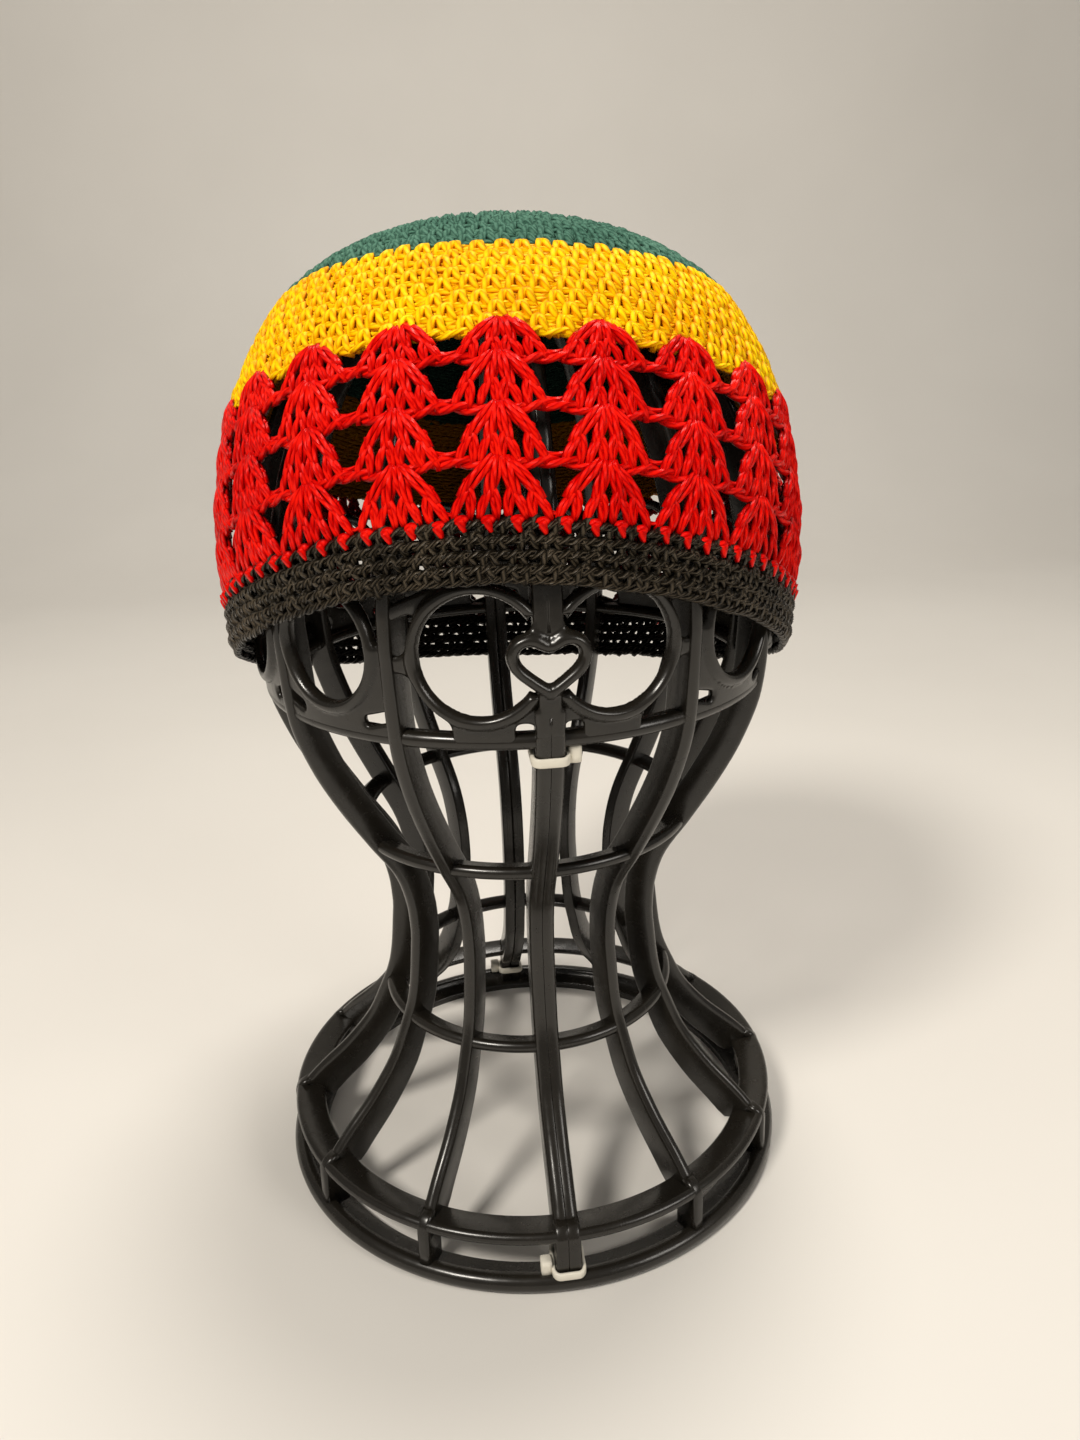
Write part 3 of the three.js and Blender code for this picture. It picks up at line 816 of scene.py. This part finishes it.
def heart_line():
    """The heart's bead, closed, from its dip round to the left."""
    right = np.array(HEART_HALF)
    run = np.concatenate([[0], np.cumsum(np.hypot(*np.diff(right, axis=0).T))])
    table = np.column_stack([run, right])
    along = np.linspace(0, run[-1], 36)
    half = np.column_stack([smooth_table(table, 1, along), smooth_table(table, 2, along)])
    return np.concatenate([half, (half * (-1, 1))[-2:0:-1]])


def line_distance(x, y, line):
    """Distance to a closed line of points."""
    least = np.full(x.shape, 1e9)
    for start, end in zip(line, np.roll(line, -1, axis=0)):
        least = np.minimum(least, bar_distance(x, y, start, end, 0))
    return least


def arc_x(angle):
    """Length round the head from the front rib."""
    return angle * HEAD_RADIUS


def loop_distances(x, y, middle, radius):
    """Distances to a loop's hole, from inside it, to the edge of its bead and to the bead's middle."""
    hole = -circle_distance(x, y, middle, LOOP_CENTRE, radius)
    bead = np.abs(hole + LOOP_BEAD / 2)
    return hole, bead - LOOP_BEAD / 2, bead


def front_loop_field(x, y, side):
    """The loop beside the heart: distance to its edge, and to the middle of its bead."""
    x = x * side
    hole, field, bead = loop_distances(x, y, arc_x(FRONT_LOOP_ANGLE), LOOP_HOLE)
    field = blend_min(field, box_distance(x, y, *LOOP_WEB), 3.0)
    field = blend_min(field, box_distance(x, y, *LOOP_HEEL), 1.5)
    field = blend_max(field, -box_distance(x, y, *HEART_GAP), EDGE_FILLET)
    field = blend_min(field, bar_distance(x, y, *LOOP_STRUT), 3.0)
    field = blend_min(field, box_distance(x, y, *LOOP_TOUCH), 4.0)
    field = blend_max(field, hole, EDGE_FILLET)
    return blend_min(field, box_distance(x, y, *HEART_POST), 2.6), bead


def bay_field(x, y, left, right):
    """A plate with one round hole between two ribs, with a slot at each lower corner."""
    middle = (left + right) / 2
    half = (right - left) / 2
    hole, field, bead = loop_distances(x, y, middle, BAY_HOLE)
    web = box_distance(x, y, left - 1, right + 1, BAND_FOOT, BROW_HEIGHT + BAY_PLATE_HEIGHT)
    for side in (-1, 1):
        slot = (SLOT_INNER, SLOT_OUTER)
        ends = [(middle + side * (half - inward), BROW_HEIGHT + up) for inward, up in slot]
        web = blend_max(web, -bar_distance(x, y, *ends, SLOT_RADIUS), 1.0)
    return blend_max(blend_min(field, web, 2.2), hole, EDGE_FILLET), bead


def heart_field(x, y, line):
    """The heart's bead, with the plates that tie it to the ribs below and above."""
    bead = line_distance(x, y, line)
    below = blend_min(box_distance(x, y, *HEART_NECK), box_distance(x, y, *HEART_STEM), 2.0)
    field = blend_min(bead - HEART_BEAD / 2, below, 2.4)
    return blend_min(field, box_distance(x, y, *HEART_CREST), 3.6), bead


def inside_cells(field):
    """Cells of a grid that touch the inside of a field, and the grid points that they use."""
    inside = field < 0
    cells = inside[:-1, :-1] | inside[1:, :-1] | inside[:-1, 1:] | inside[1:, 1:]
    rows, columns = cells.shape
    used = np.zeros(field.shape, bool)
    for a in (0, 1):
        for b in (0, 1):
            used[a : a + rows, b : b + columns] |= cells
    return cells, used


def pulled_to_edge(x, y, outside, field_of):
    """Moves the grid points that lie outside a field onto its edge."""
    small = 0.05
    least_slope = 0.2
    for _ in range(3):
        value = field_of(x, y)[0]
        slope_x = (field_of(x + small, y)[0] - field_of(x - small, y)[0]) / (2 * small)
        slope_y = (field_of(x, y + small)[0] - field_of(x, y - small)[0]) / (2 * small)
        size = np.maximum(slope_x**2 + slope_y**2, least_slope)
        x = np.where(outside, x - value * slope_x / size, x)
        y = np.where(outside, y - value * slope_y / size, y)
    return x, y


def relief(node, across, up, field_of, lift, seam=False):
    """Meshes the inside of a field as a plate with round edges and raised beads, wrapped on the head."""
    columns, rows = (int((high - low) / BAND_STEP) + 1 for low, high in (across, up))
    x, y = np.meshgrid(np.linspace(*across, columns), np.linspace(*up, rows))
    field, _ = field_of(x, y)
    cells, used = inside_cells(field)
    outside = used & (field >= 0)
    x, y = pulled_to_edge(x, y, outside, field_of)
    field, bead = field_of(x, y)
    depth = np.where(outside, 0, np.clip(-field, 0, None))
    rounded = np.sqrt(np.clip(1 - (1 - np.clip(depth / EDGE_ROUND, 0, 1)) ** 2, 0, 1))
    crest = np.sqrt(np.clip(1 - (bead / (LOOP_BEAD / 2 + BEAD_MARGIN)) ** 2, 0, 1))
    front = lift + rounded * (PLATE_FRONT + BEAD_RISE * crest)
    if seam:
        front = front - SEAM_DEPTH * np.exp(-((x / SEAM_WIDTH) ** 2)) * rounded
    back = lift - rounded * PLATE_BACK

    # Front points, then the back ones; points on the edge belong to both sides
    radius = stand_radius(y) - PLATE_INSET
    turn = x[used] / HEAD_RADIUS
    front_points = around_axis((radius + front)[used], turn, y[used])
    back_points = around_axis((radius + back)[used], turn, y[used])
    count = int(used.sum())
    index = np.full(field.shape, -1)
    index[used] = np.arange(count)
    inner = ~outside[used]
    back_index = np.where(inner, count + np.cumsum(inner) - 1, np.arange(count))
    faces = []
    for i, j in zip(*np.nonzero(cells)):
        quad = (index[i, j], index[i, j + 1], index[i + 1, j + 1], index[i + 1, j])
        faces.append(quad)
        faces.append(tuple(int(back_index[corner]) for corner in reversed(quad)))
    make_moulding(node, np.concatenate([front_points, back_points[inner]]), faces)


def make_brow_band():
    margin = 0.5
    up = (BROW_HEIGHT - 2, LOOP_CENTRE + LOOP_HOLE + LOOP_BEAD + 2)
    pitch = arc_x(RIB_PITCH)
    for node, side in (("brow_loop_01", 1), ("brow_loop_12", -1)):
        across = sorted((side * 1.0, side * (pitch + margin)))
        relief(node, across, up, partial(front_loop_field, side=side), BAND_LIFT)
    for k in range(1, RIBS - 1):
        left = k * pitch
        right = left + pitch
        field_of = partial(bay_field, left=left, right=right)
        relief(f"brow_loop_{k + 1:02d}", (left - margin, right + margin), up, field_of, BAND_LIFT)
    up = (HEART_STEM[2] - margin, HEART_CREST[3] + margin)
    field_of = partial(heart_field, line=heart_line())
    relief("brow_heart", (-14, 14), up, field_of, HEART_LIFT, seam=True)


# Ties: a strap round a doubled rib with a small square head
TIE_WIDTH = 2.7
TIE_THICKNESS = 1.2
TIE_REACH = 4.35
TIE_SLACK = 1.2
TIE_CORNER = 2.2
TIE_EDGE = 0.45
TIE_SLOPE = 0.16
TIE_HEAD = 1.9
TIE_HEAD_SET_BACK = 4.6
TIE_HEAD_DEPTH = 1.15

# A tie's head from below: share of its size, height
TIE_HEAD_ROWS = [(0.75, -2.3), (0.96, -2.0), (1, -0.4), (1, 1.6), (0.96, 2.6), (0.75, 2.9)]

# Each tie: name, turn from the front rib, height, side of its head, gap to the rib's line
TIES = [
    ("tie_brow", 0, 180.2, 1, 0.6),
    ("tie_front_foot", 0, 7.2, -1, 2.1),
    ("tie_back_foot", math.pi, 8.0, 1, 2.1),
]


def tie_strap(outer, height):
    """A flat loop round a rib, rising from front to back."""
    inner = outer + RIB_DEPTH + TIE_SLACK
    middle = TIE_REACH + TIE_THICKNESS / 2 - TIE_CORNER
    corners = (
        (middle, outer + TIE_CORNER, 270),
        (middle, inner - TIE_CORNER, 0),
        (-middle, inner - TIE_CORNER, 90),
        (-middle, outer + TIE_CORNER, 180),
    )
    path = []
    for cx, cy, first in corners:
        for angle in np.radians(np.linspace(first, first + 90, 7)):
            path.append((cx + TIE_CORNER * math.cos(angle), cy + TIE_CORNER * math.sin(angle)))
    path = np.array(path)
    along = unit(np.roll(path, -1, axis=0) - np.roll(path, 1, axis=0))
    outward = np.stack([along[:, 1], -along[:, 0]], -1)
    section = rounded_section(TIE_WIDTH, TIE_THICKNESS, TIE_EDGE, TIE_EDGE, TIE_EDGE)
    reach = TIE_THICKNESS / 2 - section[:, 1]
    flat = path[:, None] + outward[:, None] * reach[:, None]
    level = height + section[:, 0] + TIE_SLOPE * (path[:, 1:2] - outer)
    return loft(np.concatenate([flat, level[..., None]], -1), closed=True)


def tie_head(middle_x, middle_y, middle_z):
    """A small block whose plan is a square with round corners."""
    corner = np.radians(np.arange(16) * 22.5)
    squared = np.maximum(np.abs(np.cos(corner)), np.abs(np.sin(corner))) ** 0.75
    rows = []
    for share, rise in TIE_HEAD_ROWS:
        size = share * TIE_HEAD / squared
        x = middle_x + size * np.cos(corner)
        y = middle_y + TIE_HEAD_DEPTH * size * np.sin(corner)
        rows.append(np.stack([x, y, middle_z + rise + 0 * corner], -1))
    return loft(np.array(rows))


def make_tie(name, turn, height, head_side, gap):
    outer = -float(stand_radius(height)) - gap
    head_x = head_side * (TIE_REACH + TIE_THICKNESS + TIE_HEAD * 0.8)
    head = tie_head(head_x, outer + TIE_HEAD_SET_BACK, height + TIE_SLOPE * TIE_HEAD_SET_BACK)
    points, faces = joined([tie_strap(outer, height), head])
    sine = math.sin(turn + FRONT_TURN)
    cosine = math.cos(turn + FRONT_TURN)
    spin = np.array([[cosine, -sine, 0], [sine, cosine, 0], [0, 0, 1]])
    make_piece(name + "_strap", points @ spin.T, faces, "white_plastic", [name])


# Hat surface
PROFILE_HEIGHTS = HAT_HEIGHT * (1 - (1 - np.linspace(0, 1, 400)) ** 2)
PROFILE_RADII = GIRTH_RADIUS * smooth_table(HAT_SECTIONS, 1, PROFILE_HEIGHTS / HAT_HEIGHT)
PROFILE_RADII[-1] = 0
PROFILE_RUN = np.concatenate([[0], np.cumsum(np.hypot(np.diff(PROFILE_HEIGHTS), np.diff(PROFILE_RADII)))])
PROFILE_SLOPE = unit(np.stack([np.gradient(PROFILE_HEIGHTS), -np.gradient(PROFILE_RADII)], -1))
HAT_RUN = PROFILE_RUN[-1]
tilt = Matrix.Rotation(LEAN_RIGHT, 3, "Y") @ Matrix.Rotation(-TILT_BACK, 3, "X")
HAT_TURN = np.array([list(row) for row in tilt])


def run_at(height):
    """Length along the wall from the rim to a height on the hat's axis."""
    return float(np.interp(height, PROFILE_HEIGHTS, PROFILE_RUN))


def on_hat(turn, run, out):
    """Places and normals on the hat: turn from its front, run up its wall, out from its skin."""
    turn, run, out = np.broadcast_arrays(turn, run, out)
    over = np.maximum(run - HAT_RUN, 0)
    height = np.interp(run, PROFILE_RUN, PROFILE_HEIGHTS) + np.minimum(run, 0)
    radius = np.interp(run, PROFILE_RUN, PROFILE_RADII) - over
    normal_out = np.interp(run, PROFILE_RUN, PROFILE_SLOPE[:, 0])
    normal_up = np.interp(run, PROFILE_RUN, PROFILE_SLOPE[:, 1])
    lift = smooth_table(HAT_SECTIONS, 2, height / HAT_HEIGHT)
    x = (radius + out * normal_out) * np.sin(turn)
    y = -(radius + out * normal_out) * np.cos(turn) * OVALNESS
    z = height + out * normal_up + lift * np.cos(2 * turn)
    normal = np.stack([normal_out * np.sin(turn), -normal_out * np.cos(turn), normal_up], -1)
    places = np.stack([x, y, z], -1) @ HAT_TURN.T + np.array(HAT_OFFSET)
    return places, normal @ HAT_TURN.T


# One stitch, worked downward: across in stitch widths, rise in rounds, out in fabric swings
LEGS = np.array(
    [
        (-0.30, -0.24, -0.9),
        (-0.26, 0.02, 0.4),
        (-0.21, 0.28, 1.1),
        (-0.18, 0.54, 1.35),
        (-0.13, 0.78, 1.25),
        (0.00, 0.92, 0.9),
        (0.12, 0.84, 1.15),
        (0.17, 0.62, 1.4),
        (0.20, 0.38, 1.3),
        (0.27, 0.12, 0.8),
        (0.38, -0.12, -0.3),
    ]
)
FRONT_CHAIN = np.array(
    [
        (-0.60, 0.20, -1.0),
        (-0.42, 0.16, 0.0),
        (-0.18, 0.08, 0.5),
        (0.08, -0.03, 0.6),
        (0.32, -0.12, 0.2),
        (0.52, -0.18, -0.9),
    ]
)

# Rings behind a round: share of its rise, wave, strand's share of the yarn's radius, out in millimetres
CLOSED_BACK = ((0.05, 0.06, 0.95, -0.2), (0.38, -0.06, 0.95, -0.2), (0.72, 0.06, 0.95, -0.2))
OPEN_BACK = ((0.42, 0.05, 0.7, -0.9), (0.7, -0.05, 0.7, -0.9))

# Slow waves of a whole round: how many, and share of its rise
ROUND_WAVES = 5
ROUND_WAVE = 0.07


def stitch_round(yarn, run, rise, count, phase, sides, jitter, back=CLOSED_BACK, front=True):
    """One round of stitches that hangs from a run up the wall, over wavy rings that close it."""
    index = np.arange(count)[:, None]
    sway = rng.normal(0, jitter, (count, 3))
    size = 1 + rng.normal(0, jitter, (count, 1))
    drift = rng.uniform(0, math.tau)

    def placed(template):
        across, up, out = template.T
        turn = phase + (index + across * size + sway[:, 0:1]) * math.tau / count
        wave = ROUND_WAVE * np.sin(ROUND_WAVES * turn + drift)
        height = run + rise * (up * size + sway[:, 1:2] + wave)
        return on_hat(turn, height, FABRIC_MIDDLE + FABRIC_SWING * (out + 2 * sway[:, 2:3]))

    yarn.tubes(*placed(LEGS), YARN_RADIUS, sides)
    if front:
        yarn.tubes(*placed(FRONT_CHAIN), YARN_RADIUS * 0.85, sides)
    halves = np.arange(count * 2)
    turns = phase + halves[None] * math.pi / count
    for share, wave, thickness, out in back:
        height = run + rise * (share + np.where(halves % 2 == 0, wave, -wave))
        yarn.tubes(*on_hat(turns, height, FABRIC_MIDDLE + out), YARN_RADIUS * thickness, 4, closed=True)


def rope(yarn, run, lays, radius, swing, out, points=8, sides=5, strands=2, sway=0.0, dip=0.0):
    """Strands that wind round each other round the hat; dip lowers them at the shells' columns."""
    count = lays * points
    turn = COLUMN_TURN + np.arange(count) * math.tau / count
    wobble = np.interp(np.arange(count), np.linspace(0, count, 60), rng.normal(0, sway, 60))
    middle = run - dip * np.cos((turn - COLUMN_TURN) * COLUMNS) + wobble
    for strand in range(strands):
        angle = turn * lays + strand * math.tau / strands
        height = middle + swing * np.sin(angle)
        places, normals = on_hat(turn, height, out + 0.8 * swing * np.cos(angle))
        yarn.tubes(places[None], normals[None], radius, sides, closed=True)


def make_yellow():
    """Stitches, with a two-strand chain along the lower edge."""
    yarn = Yarn()
    low = run_at(RIM_HEIGHT + LACE_HEIGHT) + 1.0
    high = run_at(RIM_HEIGHT + LACE_HEIGHT + YELLOW_HEIGHT)
    rise = (high - low) / YELLOW_ROUNDS
    for r in range(YELLOW_ROUNDS):
        phase = COLUMN_TURN + (0.5 + ROUND_SHIFT * r) * math.tau / STITCHES
        stitch_round(yarn, low + r * rise, rise, STITCHES, phase, 5, 0.085)
    rope(yarn, low - 0.4, COLUMNS * 2, 0.8, 0.8, FABRIC_MIDDLE + 0.5, sway=0.2)
    yarn.make("yellow_band_crochet", "yellow_yarn", "yellow_band")


def make_crown():
    """Stitches in rounds that close at the top, with simpler tubes from the fifth round on."""
    yarn = Yarn()
    low = run_at(RIM_HEIGHT + LACE_HEIGHT + YELLOW_HEIGHT)
    rounds = round((HAT_RUN - low) / ROUND_HEIGHT)
    rise = (HAT_RUN - low - 1.5) / rounds
    for r in range(rounds):
        run = low + r * rise
        radius = float(np.interp(run + rise / 2, PROFILE_RUN, PROFILE_RADII))
        count = max(round(math.tau * radius / STITCH_WIDTH), 6)
        stitch_round(yarn, run, rise, count, ROUND_SHIFT * r, 5 if r < 4 else 4, 0.1)
    yarn.make("crown_crochet", "green_yarn", "crown")


def make_rim():
    """Open stitches with a ridge to each round, a ring at the top and a three-strand lower edge."""
    yarn = Yarn()
    low = 1.5
    high = run_at(RIM_HEIGHT) + 0.6
    rise = (high - low) / RIM_ROUNDS
    for r in range(RIM_ROUNDS):
        phase = COLUMN_TURN + (0.2 + ROUND_SHIFT * r) * math.tau / STITCHES
        stitch_round(yarn, low + r * rise, rise, STITCHES, phase, 5, 0.08, OPEN_BACK, front=False)
        ridge = low + (r + 0.6) * rise
        rope(yarn, ridge, STITCHES, 0.84, 0.74, RIDGE_OUT, points=6, sides=4, sway=0.15)
    turns = np.arange(STITCHES * 2)[None] * math.pi / STITCHES
    yarn.tubes(*on_hat(turns, high + 0.4, FABRIC_MIDDLE - 0.5), 0.9, closed=True)
    rope(yarn, low - 0.4, COLUMNS * 2, 0.72, 0.85, FABRIC_MIDDLE, strands=3, sway=0.35)
    yarn.make("black_rim_crochet", "black_yarn", "black_rim")


# One shell: posts fan down from its tip. across in millimetres, fall in shares of the round
POSTS = {
    "inner": [(0.5, -0.09), (1.1, 0.1), (2.0, 0.3), (2.8, 0.5), (3.2, 0.66)],
    "outer": [(1.2, -0.07), (3.6, 0.11), (6.4, 0.31), (8.7, 0.5), (9.9, 0.64)],
}
POST_STRANDS = 4
POST_TURNS = {"inner": 0.0, "outer": 0.8}
HEADS = {"inner": 3.4, "outer": 10.1}
LEAF_STARTS = {"inner": 0.75, "outer": 0.78}
STRAND = 0.88
UPPER_SPREAD = 0.92
BRIDGE_START = 11.0
BRIDGE_RADIUS = 0.62


def smooth_path(rows, count):
    """Points along a smooth curve through rows of (across, fall)."""
    rows = np.array(rows, float)
    run = np.concatenate([[0], np.cumsum(np.hypot(*np.diff(rows, axis=0).T))])
    table = np.column_stack([run / run[-1], rows])
    share = np.linspace(0, 1, count)
    return share, smooth_table(table, 1, share), smooth_table(table, 2, share)


class Shells(Yarn):
    """One round of shells, worked in all columns at once: across and down are from a shell's tip."""

    def __init__(self, tip_run, foot_run, spread):
        super().__init__()
        self.tip_run = tip_run
        self.fall = tip_run - foot_run
        self.spread = spread
        self.radius = float(np.interp(foot_run, PROFILE_RUN, PROFILE_RADII))
        self.columns = COLUMN_TURN + np.arange(COLUMNS)[:, None] * math.tau / COLUMNS

    def strand(self, across, down, out, jitter, thickness=STRAND, sides=5):
        """The same tube in every column; out is from the fabric's middle."""
        turn = self.columns + (across * self.spread + jitter[:, 0:1]) / self.radius
        run = self.tip_run - down + jitter[:, 1:2]
        self.tubes(*on_hat(turn, run, FABRIC_MIDDLE + out), thickness, sides)

    def post(self, side, kind, jitter):
        """Strands that wind round each other down a post, widest at its belly."""
        share, across, down = smooth_path(POSTS[kind], 10)
        down = down * self.fall
        slope_across = np.gradient(across)
        slope_down = np.gradient(down)
        length = np.hypot(slope_across, slope_down)
        belly = np.sin(np.pi * np.clip(0.1 + 0.85 * share, 0, 1)) ** 0.6
        swing = (0.45 + 0.72 * belly) / length
        arch = 0.7 + 0.75 * np.sin(np.pi * (0.15 + 0.7 * share))
        for number in range(POST_STRANDS):
            first = number * math.tau / POST_STRANDS + 0.6 * side + POST_TURNS[kind]
            angle = first + 1.5 * share
            x = across + slope_down * swing * np.cos(angle)
            y = down - slope_across * swing * np.cos(angle)
            self.strand(side * x, y, arch + 0.9 * np.sin(angle) * belly, jitter)

    def leaves(self, side, kind, jitter):
        """Two leaves from a post down to the chain, each a pair of strands."""
        head = HEADS[kind]
        share = np.linspace(0, 1, 7)
        bulge = np.sin(np.pi * share)
        lift = 0.25 + 1.25 * np.sin(np.pi * np.clip(share * 0.8 + 0.16, 0, 1))
        for lean in (-1, 1):
            start_x = LEAF_STARTS[kind] * head - 0.9 * lean
            start_y = self.fall * (0.38 + 0.05 * lean)
            end_x = head + 1.7 * lean
            end_y = self.fall * 1.02
            for pair in (-1, 1):
                bow = 0.9 * lean + 0.7 * pair
                x = start_x + (end_x - start_x) * share + bow * bulge + 0.4 * lean * share
                y = start_y + (end_y - start_y) * share + 0.25 * pair
                self.strand(side * x, y, lift - 0.2 * pair, jitter)

    def knot(self, side, kind, jitter):
        """A wrapped knot on the black edge, with a short point below it."""
        head = side * HEADS[kind]
        share = np.linspace(-1, 1, 7)
        thickness = 0.3 + 1.15 * np.sqrt(np.clip(1 - share**2, 0, 1))
        self.strand(head + 1.95 * share, self.fall + 0.5 - 0.35 * share, 1.3, jitter, thickness, 7)
        share = np.linspace(0, 1, 6)
        x = head - 0.3 + 1.1 * share
        y = self.fall + 0.6 + 3.1 * share
        self.strand(x, y, 1.9 - 0.4 * share, jitter, 1.5 - 0.9 * share**1.3, 6)

    def bridge(self, fall_share, sag):
        """A thin strand from each shell to the next."""
        share = np.linspace(0, 1, 6)
        bulge = np.sin(np.pi * share)
        half_pitch = math.pi * self.radius / COLUMNS / self.spread
        x = BRIDGE_START + 2 * (half_pitch - BRIDGE_START) * share
        y = self.fall * fall_share + sag * bulge
        self.strand(x, y, 0.3 + 0.4 * bulge, rng.normal(0, 0.2, (COLUMNS, 2)), BRIDGE_RADIUS)


def make_shells():
    """Rounds of shells, each tied by a chain but the last, which ends in knots on the rim."""
    runs = [run_at(height) for height in SHELL_TIPS] + [run_at(RIM_HEIGHT) + 0.5]
    for number, (tip_run, foot_run) in enumerate(zip(runs, runs[1:]), start=1):
        last = number == len(SHELL_TIPS)
        shells = Shells(tip_run, foot_run, 1 if last else UPPER_SPREAD)
        for side in (-1, 1):
            for kind in POSTS:
                jitter = rng.normal(0, 0.3, (COLUMNS, 2))
                shells.post(side, kind, jitter)
                shells.leaves(side, kind, jitter)
                if last:
                    shells.knot(side, kind, jitter)
        if last:
            shells.bridge(0.84, 0.9)
        else:
            rope(shells, foot_run + 0.1, COLUMNS * 2, 0.98, 0.92, FABRIC_MIDDLE + 0.45, sway=0.2, dip=0.8)
            shells.bridge(0.76, 0.8)
        shells.make(f"red_shells_round_{number}", "red_yarn", "red_lace")


# Camera, floor and light
CAMERA_PLACE = (-0.954, -356.262, 287.66)
CAMERA_PITCH = math.radians(19.23697)
CAMERA_YAW = math.radians(1.36724)
CAMERA_ROLL = math.radians(-1.86737)
FOCAL_PIXELS = 1066.2
IMAGE_HEIGHT = 1440
SENSOR = 36.0


def make_camera():
    forward = Vector(
        (
            math.sin(CAMERA_YAW) * math.cos(CAMERA_PITCH),
            math.cos(CAMERA_YAW) * math.cos(CAMERA_PITCH),
            -math.sin(CAMERA_PITCH),
        )
    )
    level = Vector((math.cos(CAMERA_YAW), -math.sin(CAMERA_YAW), 0))
    upward = level.cross(forward)
    right = math.cos(CAMERA_ROLL) * level + math.sin(CAMERA_ROLL) * upward
    top = -math.sin(CAMERA_ROLL) * level + math.cos(CAMERA_ROLL) * upward
    data = bpy.data.cameras.new("camera")
    data.sensor_fit = "VERTICAL"
    data.sensor_height = SENSOR
    data.lens = SENSOR * FOCAL_PIXELS / IMAGE_HEIGHT
    data.clip_start = 0.01
    camera = bpy.data.objects.new("camera", data)
    place = Vector([(c + a) * MM for c, a in zip(CAMERA_PLACE, AXIS)])
    turn = Matrix((right, top, -forward)).transposed().to_4x4()
    camera.matrix_world = Matrix.Translation(place) @ turn
    bpy.context.scene.collection.objects.link(camera)
    bpy.context.scene.camera = camera


def make_floor():
    """A pale sweep: floor, curve and upright behind the object."""
    half = 3.0
    front, back, bend, top = -2.5, 1.6, 0.6, 3.5
    turns = np.linspace(0, math.pi / 2, 17)[1:]
    curve = [(back - bend + bend * math.sin(a), bend - bend * math.cos(a)) for a in turns]
    line = [(front, 0.0), (back - bend, 0.0), *curve, (back, top)]
    points = [(x, y, z) for y, z in line for x in (-half, half)]
    faces = [(2 * i, 2 * i + 1, 2 * i + 3, 2 * i + 2) for i in range(len(line) - 1)]
    mesh = bpy.data.meshes.new("floor")
    mesh.from_pydata(points, [], faces)
    mesh.polygons.foreach_set("use_smooth", np.ones(len(faces), bool))
    mesh.materials.append(floor_material())
    floor = bpy.data.objects.new("floor", mesh)
    bpy.context.scene.collection.objects.link(floor)


# Lights in metres and watts: name, place, size, power, colour
LIGHT_TARGET = Vector((0, 0, 0.2))
LIGHTS = [
    ("key", (-0.75, -0.95, 1.5), 0.4, 24, (1.0, 0.94, 0.85)),
    ("fill", (1.1, -0.8, 0.9), 0.6, 6, (1.0, 0.95, 0.88)),
    ("top", (0.15, 0.3, 1.6), 0.5, 12, (1.0, 0.95, 0.87)),
]


def make_light(name, place, size, power, colour):
    data = bpy.data.lights.new(name, "AREA")
    data.shape = "DISK"
    data.size = size
    data.energy = power
    data.color = colour
    light = bpy.data.objects.new(name, data)
    light.location = place
    light.rotation_euler = (LIGHT_TARGET - Vector(place)).to_track_quat("-Z", "Y").to_euler()
    bpy.context.scene.collection.objects.link(light)


def make_room_light():
    world = bpy.data.worlds.new("soft_room")
    world.use_nodes = True
    background = world.node_tree.nodes["Background"]
    background.inputs["Color"].default_value = (1.0, 0.96, 0.9, 1)
    background.inputs["Strength"].default_value = 0.18
    bpy.context.scene.world = world


bpy.context.scene.view_settings.view_transform = "Standard"
make_camera()
make_floor()
for light in LIGHTS:
    make_light(*light)
make_room_light()
make_rings()
make_single_ribs()
make_double_ribs()
make_brow_band()
for tie in TIES:
    make_tie(*tie)
make_rim()
make_shells()
make_yellow()
make_crown()
